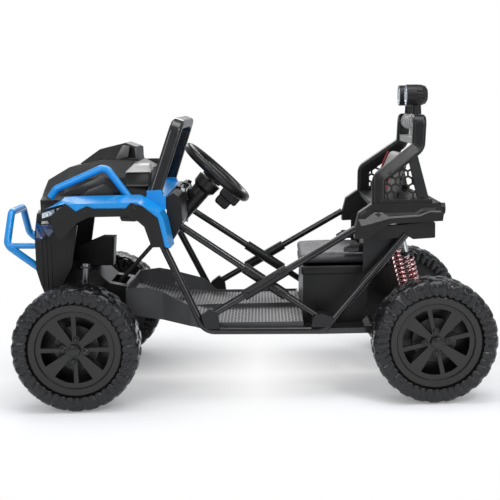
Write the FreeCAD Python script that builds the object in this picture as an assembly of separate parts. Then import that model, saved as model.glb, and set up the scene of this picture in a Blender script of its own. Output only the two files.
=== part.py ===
import FreeCAD, Part
import math
import os

from FreeCAD import Vector

# A child's electric ride-on buggy with one seat, in millimetres.
# +X is forward, +Y is the driver's left and +Z is up.
# The origin is on the floor, below the middle of the overall box.
# Heights are given with the axles at AXLE_Z, and save() lifts the whole so that the tyres stand on the floor.

# Wheels and overall layout
WHEELBASE = 934.0
FRONT_OVERHANG = 216.0
OVERALL_WIDTH = 686.0
TYRE_RADIUS = 165.0
TYRE_WIDTH = 108.0
RIM_RADIUS = 124.0
LUGS_PER_SIDE = 24
LUG_HEIGHT = 8.0
HUB_RADIUS = 24.0
DISC_RADIUS = 58.0
SPOKE_LOW = 26.0
SPOKE_HIGH = 36.0
SPOKE_TURN_DEG = 40.0
RIM_BACK = -30.0
AXLE_RADIUS = 8.0
AXLE_END = 29.0
AXLE_SHOULDER = 31.0
AXLE_COLLAR_RADIUS = 13.0
AXLE_Z = 165.0
REAR_WHEEL_TURN_DEG = 12.0
RUNNING_GAP = 0.3
SEAT_GAP = 0.3

LENGTH = FRONT_OVERHANG + WHEELBASE + TYRE_RADIUS
REAR_X = TYRE_RADIUS - LENGTH / 2
FRONT_X = REAR_X + WHEELBASE
WHEEL_Y = OVERALL_WIDTH / 2 - TYRE_WIDTH / 2

# Steering
CASTER_DEG = 5.0
KINGPIN_OFFSET = 84.0
KINGPIN_RADIUS = 8.0
KINGPIN_TOP = 208.0
SLEEVE_LOW = 80.0
SLEEVE_HIGH = 142.0
SLEEVE_WALL = 8.0
STEER_LEVER = 60.0
TIE_ROD_HEIGHT = 58.0
TIE_ROD_RADIUS = 5.0
LEVER_THICKNESS = 8.0
LEVER_EYE_RADIUS = 11.0
LINK_PIN_RADIUS = 4.0
CRANK_THICKNESS = 6.0
CRANK_LIFT = 14.0
COLUMN_DEG = 47.0
WHEEL_HUB_BACK = 363.0
WHEEL_HUB_Z = 593.0
STEERING_RADIUS = 104.0
STEERING_GRIP_RADIUS = 13.0
COLUMN_RADIUS = 6.0
COLUMN_CLEARANCE = 4.0
SHROUD_WALL = 3.0
SHROUD_RADIUS = 26.0
SHROUD_LENGTH = 165.0
SHROUD_TOP = 31.0
WHEEL_HUB_DEPTH = 26.0

KINGPIN_Y = WHEEL_Y - KINGPIN_OFFSET

# Side frames
RAIL_RADIUS = 10.0
RAIL_Y = 247.0
RAIL_Z = 188.0
RAIL_BEND = 45.0
RAIL_HEAD_Y = 212.0
RAIL_TAIL_INSET = 17.0
BRACE_RADIUS = 9.5
CLAMP_WALL = 5.0
CLAMP_HALF_LENGTH = 66.0
CLAMP_CORE_RADIUS = 8.0

# Floor tub
FLOOR_Z = 203.0
TUB_WALL = 5.0
TUB_FRONT = -112.0
TUB_RAMP_FOOT = -342.0
TUB_HALF_WIDTH = RAIL_Y - RAIL_RADIUS - SEAT_GAP
RIDGE_HEIGHT = 13.0
RIDGE_HALF_WIDTH = 17.0

# Front body
FENDER_INNER = 212.0
FENDER_STEP = 238.0
FENDER_OUTER = 325.0
FENDER_WALL = 5.0
TRIM_OUTER = 322.0
TRIM_FALL = 12.0
HOOD_WALL = 6.0
HOOD_TUBE_RADIUS = 9.5
HOOD_TUBE_Y = 224.0
NOSE_HALF_WIDTH = 150.0
NOSE_CROWN = 15.0
NOSE_FLAT = 60.0
NOSE_WALL = 8.0
GRILLE_SLOTS = 5
GRILLE_PITCH = 20.0
LIGHT_OUTER = 300.0
BUMPER_RADIUS = 10.0
BUMPER_STRUT_RADIUS = 8.0
HOOP_DEPTH = 33.0
HOOP_WIDTH = 26.0
DASH_HALF_WIDTH = 230.0
COWL_FRONT = -188.3
COWL_BACK = -238.0
COWL_LOW = 515.0
FRONT_BOX_HALF_WIDTH = 22.0
FRONT_BOX_WALL = 5.0
BEAM_HALF_WIDTH = 90.0
BEAM_TOP = 335.0

# Seat and rear body
SEAT_BOX_FRONT = 341.0
SEAT_BOX_HALF_WIDTH = 160.0
SEAT_BOX_WALL = 8.0
SEAT_BOX_LOW = 188.0
SEAT_BOX_TOP = 344.0
CUSHION_HALF_WIDTH = 145.0
CUSHION_TOP = 377.0
BACK_HALF_WIDTH = 125.0
BACK_SUNK = 5.0
DECK_Z = 515.0
DECK_TAIL = -34.0
DECK_THICKNESS = 12.0
TAIL_LAMP_RADIUS = 15.0
TAIL_LAMP_DEPTH = 12.0
PANEL_TOP = 517.0
PANEL_OFFSET = 30.0
PANEL_WIDTH = 40.0
PANEL_STEP = 9.0
ROLL_WIDTH = 36.0
ROLL_DEPTH = 26.0
ROLL_TOP_Z = 748.0
ROLL_TOP_TURN = 30.0
ROLL_MAST = 18.5
ROLL_LEAN = 52.0
ROLL_CORNER = 9.0
SLAT_RADIUS = 22.0
SLAT_WALL = 6.0
SLAT_WIDTH = 14.0
SLAT_PITCH = 36.0
ROLL_BASE_INSET = 26.0
SILL_HEIGHT = 10.0
MESH_CELL = 23.0
MESH_BAR = 5.0
MESH_THICKNESS = 4.0
LAMP_RADIUS = 29.0
LAMP_Y = 71.0
LAMP_Z = 800.0
LAMP_GROOVE = 2.5
LAMP_BACK = -14.0
LAMP_DEPTH = 59.0
LAMP_RIM = 4.0
LENS_DEPTH = 8.0
SHOCK_TOP_INSET = 42.0
SHOCK_FOOT_INSET = 2.0
SHOCK_EYE_RADIUS = 12.0
COIL_START = 49.0
SPRING_RADIUS = 14.0
SPRING_WIRE = 4.0
SPRING_TURNS = 6
SHOCK_ROD_RADIUS = 6.0
BEARING_TOP = 198.0
GEARBOX_WIDTH = 57.7
GEARBOX_INSET = 17.0
FRAME_RAIL_WIDTH = 20.0
FRAME_RAIL_HEIGHT = 20.0
FRAME_DROP = 34.0
FRAME_TAIL = -30.0
HITCH_RADIUS = 5.0

PANEL_INNER = SEAT_BOX_HALF_WIDTH + PANEL_OFFSET
DECK_HALF_WIDTH = PANEL_INNER + PANEL_WIDTH
GEARBOX_OUTER = WHEEL_Y - TYRE_WIDTH / 2 - GEARBOX_INSET
FRAME_RAIL_Y = GEARBOX_OUTER - GEARBOX_WIDTH - SEAT_GAP - FRAME_RAIL_WIDTH / 2
SHOCK_TOP_Y = PANEL_INNER - SHOCK_TOP_INSET
SHOCK_FOOT_Y = FRAME_RAIL_Y - SHOCK_FOOT_INSET
SEAT_BOX_FLOOR = SEAT_BOX_LOW + SEAT_BOX_WALL

# The corners of a square about the origin, in order
SQUARE = ((-1, -1), (1, -1), (1, 1), (-1, 1))


def unit(direction):
    return direction * (1.0 / direction.Length)


def rounded_edges(points, radius, closed=False):
    """Straight runs through corner points, joined by tangent arcs."""
    count = len(points)
    corners = range(count) if closed else range(1, count - 1)
    arcs = {}
    for i in corners:
        here = points[i]
        back = points[i - 1] - here
        ahead = points[(i + 1) % count] - here
        half_turn = (math.pi - back.getAngle(ahead)) / 2
        reach = min(radius * math.tan(half_turn), 0.47 * back.Length, 0.47 * ahead.Length)
        arc_radius = reach / math.tan(half_turn)
        rise = arc_radius / math.cos(half_turn) - arc_radius
        middle = here + unit(unit(back) + unit(ahead)) * rise
        arcs[i] = (here + unit(back) * reach, middle, here + unit(ahead) * reach)
    edges = []
    for i in range(count if closed else count - 1):
        following = (i + 1) % count
        start = arcs[i][2] if i in arcs else points[i]
        end = arcs[following][0] if following in arcs else points[following]
        edges.append(Part.LineSegment(start, end).toShape())
        if following in arcs:
            edges.append(Part.Arc(*arcs[following]).toShape())
    return edges


def bent_tube(points, bend, radius):
    """A round bar along corner points, with tangent bends."""
    path = Part.Wire(rounded_edges(points, bend))
    ring = Part.Wire(Part.makeCircle(radius, points[0], points[1] - points[0]))
    return path.makePipeShell([ring], True, False)


def ring_points(sides, radius, first_deg=0.0):
    """The corners of a regular outline about the origin."""
    angles = [math.radians(360.0 / sides * i + first_deg) for i in range(sides)]
    return [(radius * math.cos(angle), radius * math.sin(angle)) for angle in angles]


def rod(start, end, radius):
    return Part.makeCylinder(radius, (end - start).Length, start, end - start)


def box(x_low, x_high, y_low, y_high, z_low, z_high):
    return Part.makeBox(x_high - x_low, y_high - y_low, z_high - z_low, Vector(x_low, y_low, z_low))


def side_wire(points, y, corner=0.0):
    ring = [Vector(x, y, z) for x, z in points]
    if corner:
        return Part.Wire(rounded_edges(ring, corner, closed=True))
    return Part.makePolygon(ring + ring[:1])


def prism(points, y_low, y_high, corner=0.0):
    """A side outline of (x, z) points carried across from y_low to y_high."""
    return Part.Face(side_wire(points, y_low, corner)).extrude(Vector(0, y_high - y_low, 0))


def plan_prism(points, z_low, z_high):
    ring = [Vector(x, y, z_low) for x, y in points]
    return Part.Face(Part.makePolygon(ring + ring[:1])).extrude(Vector(0, 0, z_high - z_low))


def front_prism(points, x_low, x_high, corner=0.0):
    ring = [Vector(x_low, y, z) for y, z in points]
    if corner:
        wire = Part.Wire(rounded_edges(ring, corner, closed=True))
    else:
        wire = Part.makePolygon(ring + ring[:1])
    return Part.Face(wire).extrude(Vector(x_high - x_low, 0, 0))


def mirrored(shape):
    return shape.mirror(Vector(0, 0, 0), Vector(0, 1, 0))


def both_sides(shape):
    return [shape, mirrored(shape)]


def fuse(shapes):
    joined = shapes[0].multiFuse(shapes[1:]) if len(shapes) > 1 else shapes[0]
    return joined.removeSplitter()


def offset_line(points, distance):
    """An open line of (x, z) points moved sideways, to the left of its direction if distance is positive."""
    moved = []
    for i, (x, z) in enumerate(points):
        normals = []
        for a, b in ((i - 1, i), (i, i + 1)):
            if a >= 0 and b < len(points):
                dx = points[b][0] - points[a][0]
                dz = points[b][1] - points[a][1]
                length = math.hypot(dx, dz)
                normals.append((-dz / length, dx / length))
        nx = sum(n[0] for n in normals) / len(normals)
        nz = sum(n[1] for n in normals) / len(normals)
        reach = distance / (nx * nx + nz * nz)
        moved.append((x + nx * reach, z + nz * reach))
    return moved


def front(offset):
    """X of a place given from the front axle."""
    return FRONT_X + offset


def rear(offset):
    """X of a place given from the rear axle."""
    return REAR_X + offset


def from_front(points):
    return [(front(x), z) for x, z in points]


def from_rear(points):
    return [(rear(x), z) for x, z in points]


def save(name, shapes):
    shape = Part.makeCompound(shapes) if len(shapes) > 1 else shapes[0]
    shape.translate(Vector(0, 0, TYRE_RADIUS - AXLE_Z))
    shape.exportStep("parts/" + name + ".step")


# Steering geometry: the column's line, the kingpins' line and the tie rod's place

HUB_POINT = Vector(front(-WHEEL_HUB_BACK), 0, WHEEL_HUB_Z)
COLUMN_DOWN = Vector(math.cos(math.radians(COLUMN_DEG)), 0, -math.sin(math.radians(COLUMN_DEG)))
KINGPIN_UP = Vector(-math.sin(math.radians(CASTER_DEG)), 0, math.cos(math.radians(CASTER_DEG)))
KINGPIN_AHEAD = Vector(math.cos(math.radians(CASTER_DEG)), 0, math.sin(math.radians(CASTER_DEG)))
KINGPIN_FOOT = Vector(FRONT_X, KINGPIN_Y, AXLE_Z)
TIE_CENTRE = (
    Vector(FRONT_X, 0, AXLE_Z) + KINGPIN_UP * TIE_ROD_HEIGHT - KINGPIN_AHEAD * STEER_LEVER
)
CRANK_FOOT = HUB_POINT + COLUMN_DOWN * (TIE_CENTRE - HUB_POINT).dot(COLUMN_DOWN)


def kingpin_frame(shape):
    """Carry a shape drawn about an upright kingpin at the origin to the left kingpin."""
    shape = shape.copy()
    shape.rotate(Vector(0, 0, 0), Vector(0, 1, 0), -CASTER_DEG)
    shape.translate(KINGPIN_FOOT)
    return shape


def column_space(radius):
    """The room that the turning column needs."""
    return rod(HUB_POINT, CRANK_FOOT + COLUMN_DOWN * 20, radius)


# Wheels

def tyre_ring(radius, y):
    """One many-sided ring of the tyre's body, with its axis along Y."""
    sides = 2 * LUGS_PER_SIDE
    corners = [Vector(a, y, b) for a, b in ring_points(sides, radius, 180.0 / sides)]
    return Part.makePolygon(corners + corners[:1])


def lug_section(y, low, tip, width, angle_deg):
    """One cross-section of a lug: a wedge of given width, its outer corners at the tip radius."""
    high = math.sqrt(tip ** 2 - (width / 2 - 2) ** 2)
    angle = math.radians(angle_deg)
    out = Vector(math.cos(angle), 0, math.sin(angle))
    along = Vector(-math.sin(angle), 0, math.cos(angle))
    corners = [
        out * low - along * (width / 2),
        out * high - along * (width / 2 - 2),
        out * high + along * (width / 2 - 2),
        out * low + along * (width / 2),
    ]
    corners = [Vector(c.x, y, c.z) for c in corners]
    return Part.makePolygon(corners + corners[:1])


def make_tyre():
    """A ballooned foam tyre with a row of slanted lugs round each shoulder."""
    half = TYRE_WIDTH / 2
    tread = TYRE_RADIUS - LUG_HEIGHT
    seat = RIM_RADIUS + SEAT_GAP
    stations = [
        (-half + 18, seat), (-half + 4, seat + 16), (-half + 8, tread - 2), (-half + 24, tread),
        (half - 24, tread), (half - 8, tread - 2), (half - 4, seat + 16), (half - 18, seat),
    ]
    rings = [tyre_ring(radius / math.cos(math.pi / (2 * LUGS_PER_SIDE)), y) for y, radius in stations]
    body = Part.makeLoft(rings, True, True)
    step = 360.0 / LUGS_PER_SIDE
    lugs = []
    for side in (-1, 1):
        for i in range(LUGS_PER_SIDE):
            angle = -90 + i * step + (step / 2 if side < 0 else 0)
            sections = [
                lug_section(side * 4, tread - 4, TYRE_RADIUS, 15, angle + 6 * side),
                lug_section(side * (half - 16), tread - 4, TYRE_RADIUS, 19, angle),
                lug_section(side * half, seat + 12, TYRE_RADIUS - 12, 17, angle),
            ]
            lugs.append(Part.makeLoft(sections, True, True))
    body = body.multiFuse(lugs)
    bore = Part.makeCylinder(seat, TYRE_WIDTH, Vector(0, -half, 0), Vector(0, 1, 0))
    return body.cut(bore)


def spoke(angle_deg, inner_half, outer_half):
    inner = HUB_RADIUS - 4
    outer = RIM_RADIUS - 33
    outline = [(inner, -inner_half), (outer, -outer_half), (outer, outer_half), (inner, inner_half)]
    blade = prism(outline, SPOKE_LOW, SPOKE_HIGH)
    blade.rotate(Vector(0, 0, 0), Vector(0, 1, 0), angle_deg)
    return blade


def make_rim():
    """A moulded rim, open between four broad and four thin spokes, its outer face at +Y."""
    profile = [
        (RIM_RADIUS, -38), (RIM_RADIUS, 40), (RIM_RADIUS - 6, 44), (RIM_RADIUS - 21, 42),
        (RIM_RADIUS - 24, 36), (RIM_RADIUS - 36, 36), (RIM_RADIUS - 36, 30), (RIM_RADIUS - 12, 27),
        (RIM_RADIUS - 6, 20), (RIM_RADIUS - 6, -38),
    ]
    ring = [Vector(r, y, 0) for r, y in profile]
    barrel = Part.Face(Part.makePolygon(ring + ring[:1])).revolve(Vector(0, 0, 0), Vector(0, 1, 0), 360)
    hub = Part.makeCylinder(HUB_RADIUS, SPOKE_HIGH - RIM_BACK, Vector(0, RIM_BACK, 0), Vector(0, 1, 0))
    disc = Part.makeCylinder(DISC_RADIUS, 5, Vector(0, 4, 0), Vector(0, 1, 0))
    backing = Part.makeCylinder(RIM_RADIUS - 4, 4, Vector(0, RIM_BACK, 0), Vector(0, 1, 0))
    cap_corners = [Vector(a, SPOKE_HIGH - 1, b) for a, b in ring_points(6, 15)]
    cap = Part.Face(Part.makePolygon(cap_corners + cap_corners[:1])).extrude(Vector(0, 8, 0))
    spokes = []
    for i in range(4):
        spokes.append(spoke(90 * i, 5, 6))
        spokes.append(spoke(90 * i + SPOKE_TURN_DEG, 8, 18))
    rim = fuse([barrel, hub, disc, backing, cap] + spokes)
    bore = Part.makeCylinder(AXLE_RADIUS + RUNNING_GAP, 2 * AXLE_SHOULDER, Vector(0, -AXLE_SHOULDER, 0),
                             Vector(0, 1, 0))
    return rim.cut(bore)


def place_wheel(shape, x, side, turn_deg):
    placed = shape.copy()
    placed.rotate(Vector(0, 0, 0), Vector(0, 1, 0), turn_deg)
    if side < 0:
        placed = mirrored(placed)
    placed.translate(Vector(x, side * WHEEL_Y, AXLE_Z))
    return placed


# Steering linkage

def make_knuckle():
    """The left knuckle: kingpin with its bolt head, block, spindle and lever."""
    pin = Part.makeCylinder(KINGPIN_RADIUS, KINGPIN_TOP + 10, Vector(0, 0, -10))
    washer = Part.makeCylinder(15, 3, Vector(0, 0, KINGPIN_TOP - 12))
    head = Part.makeCylinder(10, 8, Vector(0, 0, KINGPIN_TOP - 9))
    collar = Part.makeCylinder(13, SLEEVE_LOW - 1 + 20, Vector(0, 0, -20))
    block = box(-18, 18, -17, 17, -20, 26)
    spindle = Part.makeCylinder(AXLE_RADIUS, KINGPIN_OFFSET + AXLE_END, Vector(0, 0, 0), Vector(0, 1, 0))
    shoulder = Part.makeCylinder(12, KINGPIN_OFFSET - AXLE_SHOULDER, Vector(0, 0, 0), Vector(0, 1, 0))
    plate_low = TIE_ROD_HEIGHT + TIE_ROD_RADIUS + 0.5
    lever = box(-STEER_LEVER, 0, -9, 9, plate_low, plate_low + LEVER_THICKNESS)
    eye = Part.makeCylinder(LEVER_EYE_RADIUS, LEVER_THICKNESS, Vector(-STEER_LEVER, 0, plate_low))
    eye_hole = Part.makeCylinder(LINK_PIN_RADIUS + RUNNING_GAP, 30, Vector(-STEER_LEVER, 0, plate_low - 10))
    knuckle = fuse([pin, washer, head, collar, block, spindle, shoulder, lever, eye]).cut(eye_hole)
    return kingpin_frame(knuckle)


def make_tie_rod():
    """The bar between the two levers, with a wide eye in the middle for the column's crank."""
    pin = Part.makeCylinder(LINK_PIN_RADIUS, 2 * TIE_ROD_RADIUS + 6, Vector(-STEER_LEVER, 0, TIE_ROD_HEIGHT))
    end_block = Part.makeCylinder(9, 2 * TIE_ROD_RADIUS,
                                  Vector(-STEER_LEVER, 0, TIE_ROD_HEIGHT - TIE_ROD_RADIUS))
    left = kingpin_frame(fuse([pin, end_block]))
    bar = rod(Vector(TIE_CENTRE.x, -KINGPIN_Y, TIE_CENTRE.z), Vector(TIE_CENTRE.x, KINGPIN_Y, TIE_CENTRE.z),
              TIE_ROD_RADIUS)
    eye_start = TIE_CENTRE - COLUMN_DOWN * 5
    eye = rod(eye_start, eye_start + COLUMN_DOWN * 10, 17)
    hole = rod(TIE_CENTRE - COLUMN_DOWN * 30, TIE_CENTRE + COLUMN_DOWN * 30, 9)
    return fuse([left, mirrored(left), bar, eye]).cut(hole)


def make_steering_wheel():
    """Grip ring, three broad spokes, hub and the control box below the hub."""
    grip = Part.makeTorus(STEERING_RADIUS, STEERING_GRIP_RADIUS)
    hub = Part.makeCone(30, 38, 30, Vector(0, 0, -WHEEL_HUB_DEPTH))
    spokes = []
    for angle in (20, 160, 270):
        arm = Part.makeBox(STEERING_RADIUS, 30, 10, Vector(0, -15, -8))
        arm.rotate(Vector(0, 0, 0), Vector(0, 0, 1), angle)
        spokes.append(arm)
    control_box = Part.makeBox(70, 58, 32, Vector(-35, -100, -40))
    control_box = control_box.makeFillet(7, control_box.Edges)
    horn_box = Part.makeBox(44, 42, 34, Vector(-22, -88, -66))
    horn_box = horn_box.makeFillet(9, horn_box.Edges)
    wheel = fuse([grip, hub, control_box, horn_box] + spokes)
    wheel.rotate(Vector(0, 0, 0), Vector(0, 0, 1), -90)
    wheel.rotate(Vector(0, 0, 0), Vector(0, 1, 0), -(90 - COLUMN_DEG))
    wheel.translate(HUB_POINT)
    return wheel


def make_column():
    """The steering shaft from the wheel's hub down to its crank behind the front axle."""
    shaft = rod(HUB_POINT + COLUMN_DOWN * (WHEEL_HUB_DEPTH + SEAT_GAP), CRANK_FOOT, COLUMN_RADIUS)
    to_tie = TIE_CENTRE - CRANK_FOOT
    lift = COLUMN_DOWN * -CRANK_LIFT
    pin = rod(TIE_CENTRE + lift, TIE_CENTRE + COLUMN_DOWN * 6, LINK_PIN_RADIUS)
    low = -CRANK_THICKNESS / 2
    arm = Part.makeBox(to_tie.Length, 16, CRANK_THICKNESS, Vector(0, -8, low))
    arm = fuse([arm, Part.makeCylinder(8, CRANK_THICKNESS, Vector(to_tie.Length, 0, low)),
                Part.makeCylinder(LEVER_EYE_RADIUS, CRANK_THICKNESS, Vector(0, 0, low))])
    turn = FreeCAD.Rotation(unit(to_tie), Vector(0, 1, 0), COLUMN_DOWN * -1, "XYZ")
    arm.Placement = FreeCAD.Placement(CRANK_FOOT + lift, turn)
    return fuse([shaft, pin, arm])


# Front structure

def make_front_beam():
    """The moulded centre beam with its two arms and the kingpin sleeves."""
    outline = from_front([
        (TUB_FRONT + SEAT_GAP, 222), (TUB_FRONT + SEAT_GAP, 285), (-60, 296), (-20, BEAM_TOP),
        (112, BEAM_TOP), (107.7, 306), (93.5, 267), (60, 232),
    ])
    beam = prism(outline, -BEAM_HALF_WIDTH, BEAM_HALF_WIDTH)
    pocket = box(front(-100), front(-6), -58, 58, 200, 296)
    beam = beam.cut(pocket)
    arm_wires = []
    for y, half, low, high in ((BEAM_HALF_WIDTH - 5, 34, 84, 138), (KINGPIN_Y - 4, 16, 92, 132)):
        arm_wires.append(side_wire([(-half, low), (half, low), (half, high), (-half, high)], y - KINGPIN_Y))
    arm = Part.makeLoft(arm_wires, True, True)
    sleeve = Part.makeCylinder(KINGPIN_RADIUS + SLEEVE_WALL, SLEEVE_HIGH - SLEEVE_LOW,
                               Vector(0, 0, SLEEVE_LOW))
    bore = Part.makeCylinder(KINGPIN_RADIUS + RUNNING_GAP, 200, Vector(0, 0, 0))
    left = kingpin_frame(fuse([arm, sleeve]).cut(bore))
    beam = fuse([beam, left, mirrored(left)])
    return beam.cut(column_space(COLUMN_RADIUS + COLUMN_CLEARANCE))


def make_front_box():
    """The faceted cover over the front electrics."""
    low = BEAM_TOP + SEAT_GAP
    outline = [(-62, low), (-69, 417), (-33, 418), (34, 391), (33, low)]
    inside = offset_line([(-62, low - 10)] + outline[1:-1] + [(33, low - 10)], -FRONT_BOX_WALL)
    room_half = FRONT_BOX_HALF_WIDTH - FRONT_BOX_WALL
    cover = prism(from_front(outline), -FRONT_BOX_HALF_WIDTH, FRONT_BOX_HALF_WIDTH)
    return cover.cut(prism(from_front(inside), -room_half, room_half))


def tub_plan(inset):
    """The foot well's outline seen from above, or the room inside it, inset by the wall."""
    near = TUB_HALF_WIDTH - inset
    half = [
        (rear(SEAT_BOX_FRONT) + inset, near), (front(TUB_RAMP_FOOT), near), (front(-292), near - 14),
        (front(-215), 175 - inset), (front(TUB_FRONT) - inset, 150 - inset),
    ]
    return half + [(x, -y) for x, y in reversed(half)]


def make_tub():
    """The foot well: a floor with a middle ridge, side walls and a ramp up to the pedal."""
    x_back = rear(SEAT_BOX_FRONT)
    x_ramp = front(TUB_RAMP_FOOT)
    envelope = prism([
        (x_back, FLOOR_Z - 16), (x_ramp, FLOOR_Z - 16), (front(-304), FLOOR_Z - 6),
        (front(-154), 214), (front(TUB_FRONT), 222), (front(TUB_FRONT), 291), (front(-173), 295),
        (front(-210), 286), (front(-305), 248), (x_ramp, FLOOR_Z + 7), (x_back, FLOOR_Z + 5),
    ], -TUB_HALF_WIDTH, TUB_HALF_WIDTH)
    body = envelope.common(plan_prism(tub_plan(0), 100, 400))
    room = prism([
        (x_back - 10, FLOOR_Z), (x_ramp, FLOOR_Z), (front(-250), FLOOR_Z + 18),
        (front(TUB_FRONT), 262), (front(TUB_FRONT), 400), (x_back - 10, 400),
    ], -TUB_HALF_WIDTH, TUB_HALF_WIDTH).common(plan_prism(tub_plan(TUB_WALL), 100, 500))
    ridge = prism([
        (x_back + TUB_WALL, FLOOR_Z - 1), (x_ramp, FLOOR_Z - 1), (front(-260), FLOOR_Z + 10),
        (front(-330), FLOOR_Z + RIDGE_HEIGHT), (x_back + TUB_WALL, FLOOR_Z + RIDGE_HEIGHT),
    ], -RIDGE_HALF_WIDTH, RIDGE_HALF_WIDTH)
    return fuse([body.cut(room), ridge])


def make_pedal():
    """The foot pedal on the ramp, on the rider's right."""
    tread = prism(from_front([(-262, 222), (-226, 262), (-231, 266), (-268, 225)]), -92, -48)
    foot = prism(from_front([(-262, 222), (-268, 225), (-272, 216.3), (-246, 219.5)]), -84, -56)
    return fuse([tread, foot])


def rail_points():
    return [
        Vector(front(-219), RAIL_HEAD_Y, COWL_LOW - SEAT_GAP), Vector(front(-219), RAIL_HEAD_Y, 428),
        Vector(front(-329.5), RAIL_Y, RAIL_Z + 3), Vector(rear(287), RAIL_Y, RAIL_Z - 3),
        Vector(rear(64), DECK_HALF_WIDTH - RAIL_TAIL_INSET, 434),
    ]


def make_rail():
    """The left side rail: one bent tube from the cowl down past the floor and up to the rear panel."""
    return bent_tube(rail_points(), RAIL_BEND, RAIL_RADIUS)


BRACE_A = (Vector(front(-262), 204, 474), Vector(rear(286), 228, 208))
BRACE_B = (Vector(rear(200), DECK_HALF_WIDTH - 8, 452), Vector(front(-345), 250, 231))


def brace_middle(ends, x):
    share = (x - ends[0].x) / (ends[1].x - ends[0].x)
    return ends[0] + (ends[1] - ends[0]) * share


def crossing_x():
    """X of the place where the two braces cross, seen from the side."""
    slope_a = (BRACE_A[1].z - BRACE_A[0].z) / (BRACE_A[1].x - BRACE_A[0].x)
    slope_b = (BRACE_B[1].z - BRACE_B[0].z) / (BRACE_B[1].x - BRACE_B[0].x)
    rise = BRACE_B[0].z - BRACE_A[0].z + slope_a * BRACE_A[0].x - slope_b * BRACE_B[0].x
    return rise / (slope_a - slope_b)


def make_braces():
    return [rod(ends[0], ends[1], BRACE_RADIUS) for ends in (BRACE_A, BRACE_B)]


def make_cross_clamp():
    """The moulded cross that holds the two braces where they pass, with a core from one to the other."""
    crossing = [brace_middle(ends, crossing_x()) for ends in (BRACE_A, BRACE_B)]
    sleeves = [rod(crossing[0], crossing[1], CLAMP_CORE_RADIUS)]
    for ends in (BRACE_A, BRACE_B):
        middle = brace_middle(ends, crossing_x())
        reach = unit(ends[1] - ends[0]) * CLAMP_HALF_LENGTH
        sleeves.append(rod(middle - reach, middle + reach, BRACE_RADIUS + CLAMP_WALL))
    clamp = fuse(sleeves)
    for ends in (BRACE_A, BRACE_B):
        clamp = clamp.cut(rod(ends[0], ends[1], BRACE_RADIUS + SEAT_GAP / 3))
    return clamp


def make_brace_feet():
    """The two moulded feet that hold the braces' low ends on the rail."""
    front_outline = from_front([(-371, 198), (-333, 198), (-322, 232), (-348, 252), (-366, 238)])
    rear_outline = from_rear([(322, 196), (271, 196), (262, 222), (296, 232), (316, 222)])
    front_foot = prism(front_outline, TUB_HALF_WIDTH + SEAT_GAP, RAIL_Y + 14, 5)
    rear_foot = prism(rear_outline, RAIL_Y - 34, RAIL_Y + 12, 5)
    rail = make_rail()
    feet = []
    for foot in (front_foot, rear_foot):
        foot = foot.cut(rail)
        for brace in make_braces():
            foot = foot.cut(brace)
        feet.append(foot)
    return feet


# Front body

ARCH_TOP = [(56, 529), (22, 552), (-7, 554), (-174, 555), (-196, 543), (-234, 517), (-243, 497), (-257, 424)]
ARCH_BAND = [(5, 543), (-20, 522), (-49, 536), (-62, 529), (-145, 528), (-159, 542), (-187, 533), (-225, 502),
             (-240, 428)]
ARCH_LOW = [(-207, 428), (-190, 481), (-176, 494), (-149, 508), (-53, 508), (-17, 491), (19, 451), (33, 459)]


def make_fender():
    """The left front mudguard: an arched shell with a raised inner ledge that carries the trim."""
    band = [(44, 512)] + ARCH_BAND
    outer = prism(from_front(band + ARCH_LOW), FENDER_STEP, FENDER_OUTER)
    ledge_top = [(x, z - 3) for x, z in ARCH_TOP[1:-1]]
    ledge = prism(from_front([(44, 512)] + ledge_top + [(-247, 430)] + ARCH_LOW), FENDER_INNER, FENDER_STEP)
    ledge = ledge.cut(box(front(-300), front(COWL_FRONT) + SEAT_GAP, 0, FENDER_STEP, 400, 600))
    room_outline = offset_line(band, FENDER_WALL) + offset_line(ARCH_LOW, -3 * FENDER_WALL)
    room = prism(from_front(room_outline), FENDER_INNER - 1, FENDER_OUTER - FENDER_WALL)
    room = room.common(box(front(-300), front(28), 0, FENDER_OUTER, 433, 600))
    return fuse([outer, ledge]).cut(room).cut(headlight_form())


def make_fender_trim():
    """The coloured band over the left mudguard, lower at its outer edge."""
    top_inner = list(ARCH_TOP)
    top_outer = [(x, z - TRIM_FALL) if 0 < i < 5 else (x + 4, z) for i, (x, z) in enumerate(ARCH_TOP)]
    band = list(reversed(ARCH_BAND))
    wires = []
    for y, top in ((FENDER_STEP + SEAT_GAP, top_inner), (TRIM_OUTER, top_outer)):
        wires.append(side_wire(from_front(top + [(x, z + SEAT_GAP) for x, z in band]), y))
    return Part.makeLoft(wires, True, True)


def hood_form(inset):
    """The bonnet's faceted outer form, or the room inside it, inset by the wall."""
    edge = FENDER_INNER - SEAT_GAP
    stations = [
        (106 - inset, 560, 92, 130, 540, 148, 500 + SEAT_GAP), (92 - inset, 587, 98, 155, 558, edge, 530),
        (32, 621, 105, 172, 586, edge, 530), (-60, 640, 105, 180, 598, edge, 520),
        (-140, 636, 105, 180, 596, edge, 516), (COWL_FRONT + SEAT_GAP + inset, 612, 100, 176, 584, edge, 515),
    ]
    wires = []
    for x, top, half_top, shoulder_y, shoulder_z, edge_y, low in stations:
        drop = 30 if inset else 0
        half = [(half_top - inset, top - inset), (shoulder_y - inset, shoulder_z - inset / 2),
                (edge_y - inset, low + 12), (edge_y - inset, low - drop)]
        ring = half + [(-y, z) for y, z in reversed(half)]
        points = [Vector(front(x), y, z) for y, z in ring]
        wires.append(Part.makePolygon(points + points[:1]))
    return Part.makeLoft(wires, True, True)


def make_hood():
    """The faceted bonnet, its open underside above the wheel arches."""
    return hood_form(0).cut(hood_form(HOOD_WALL))


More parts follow.
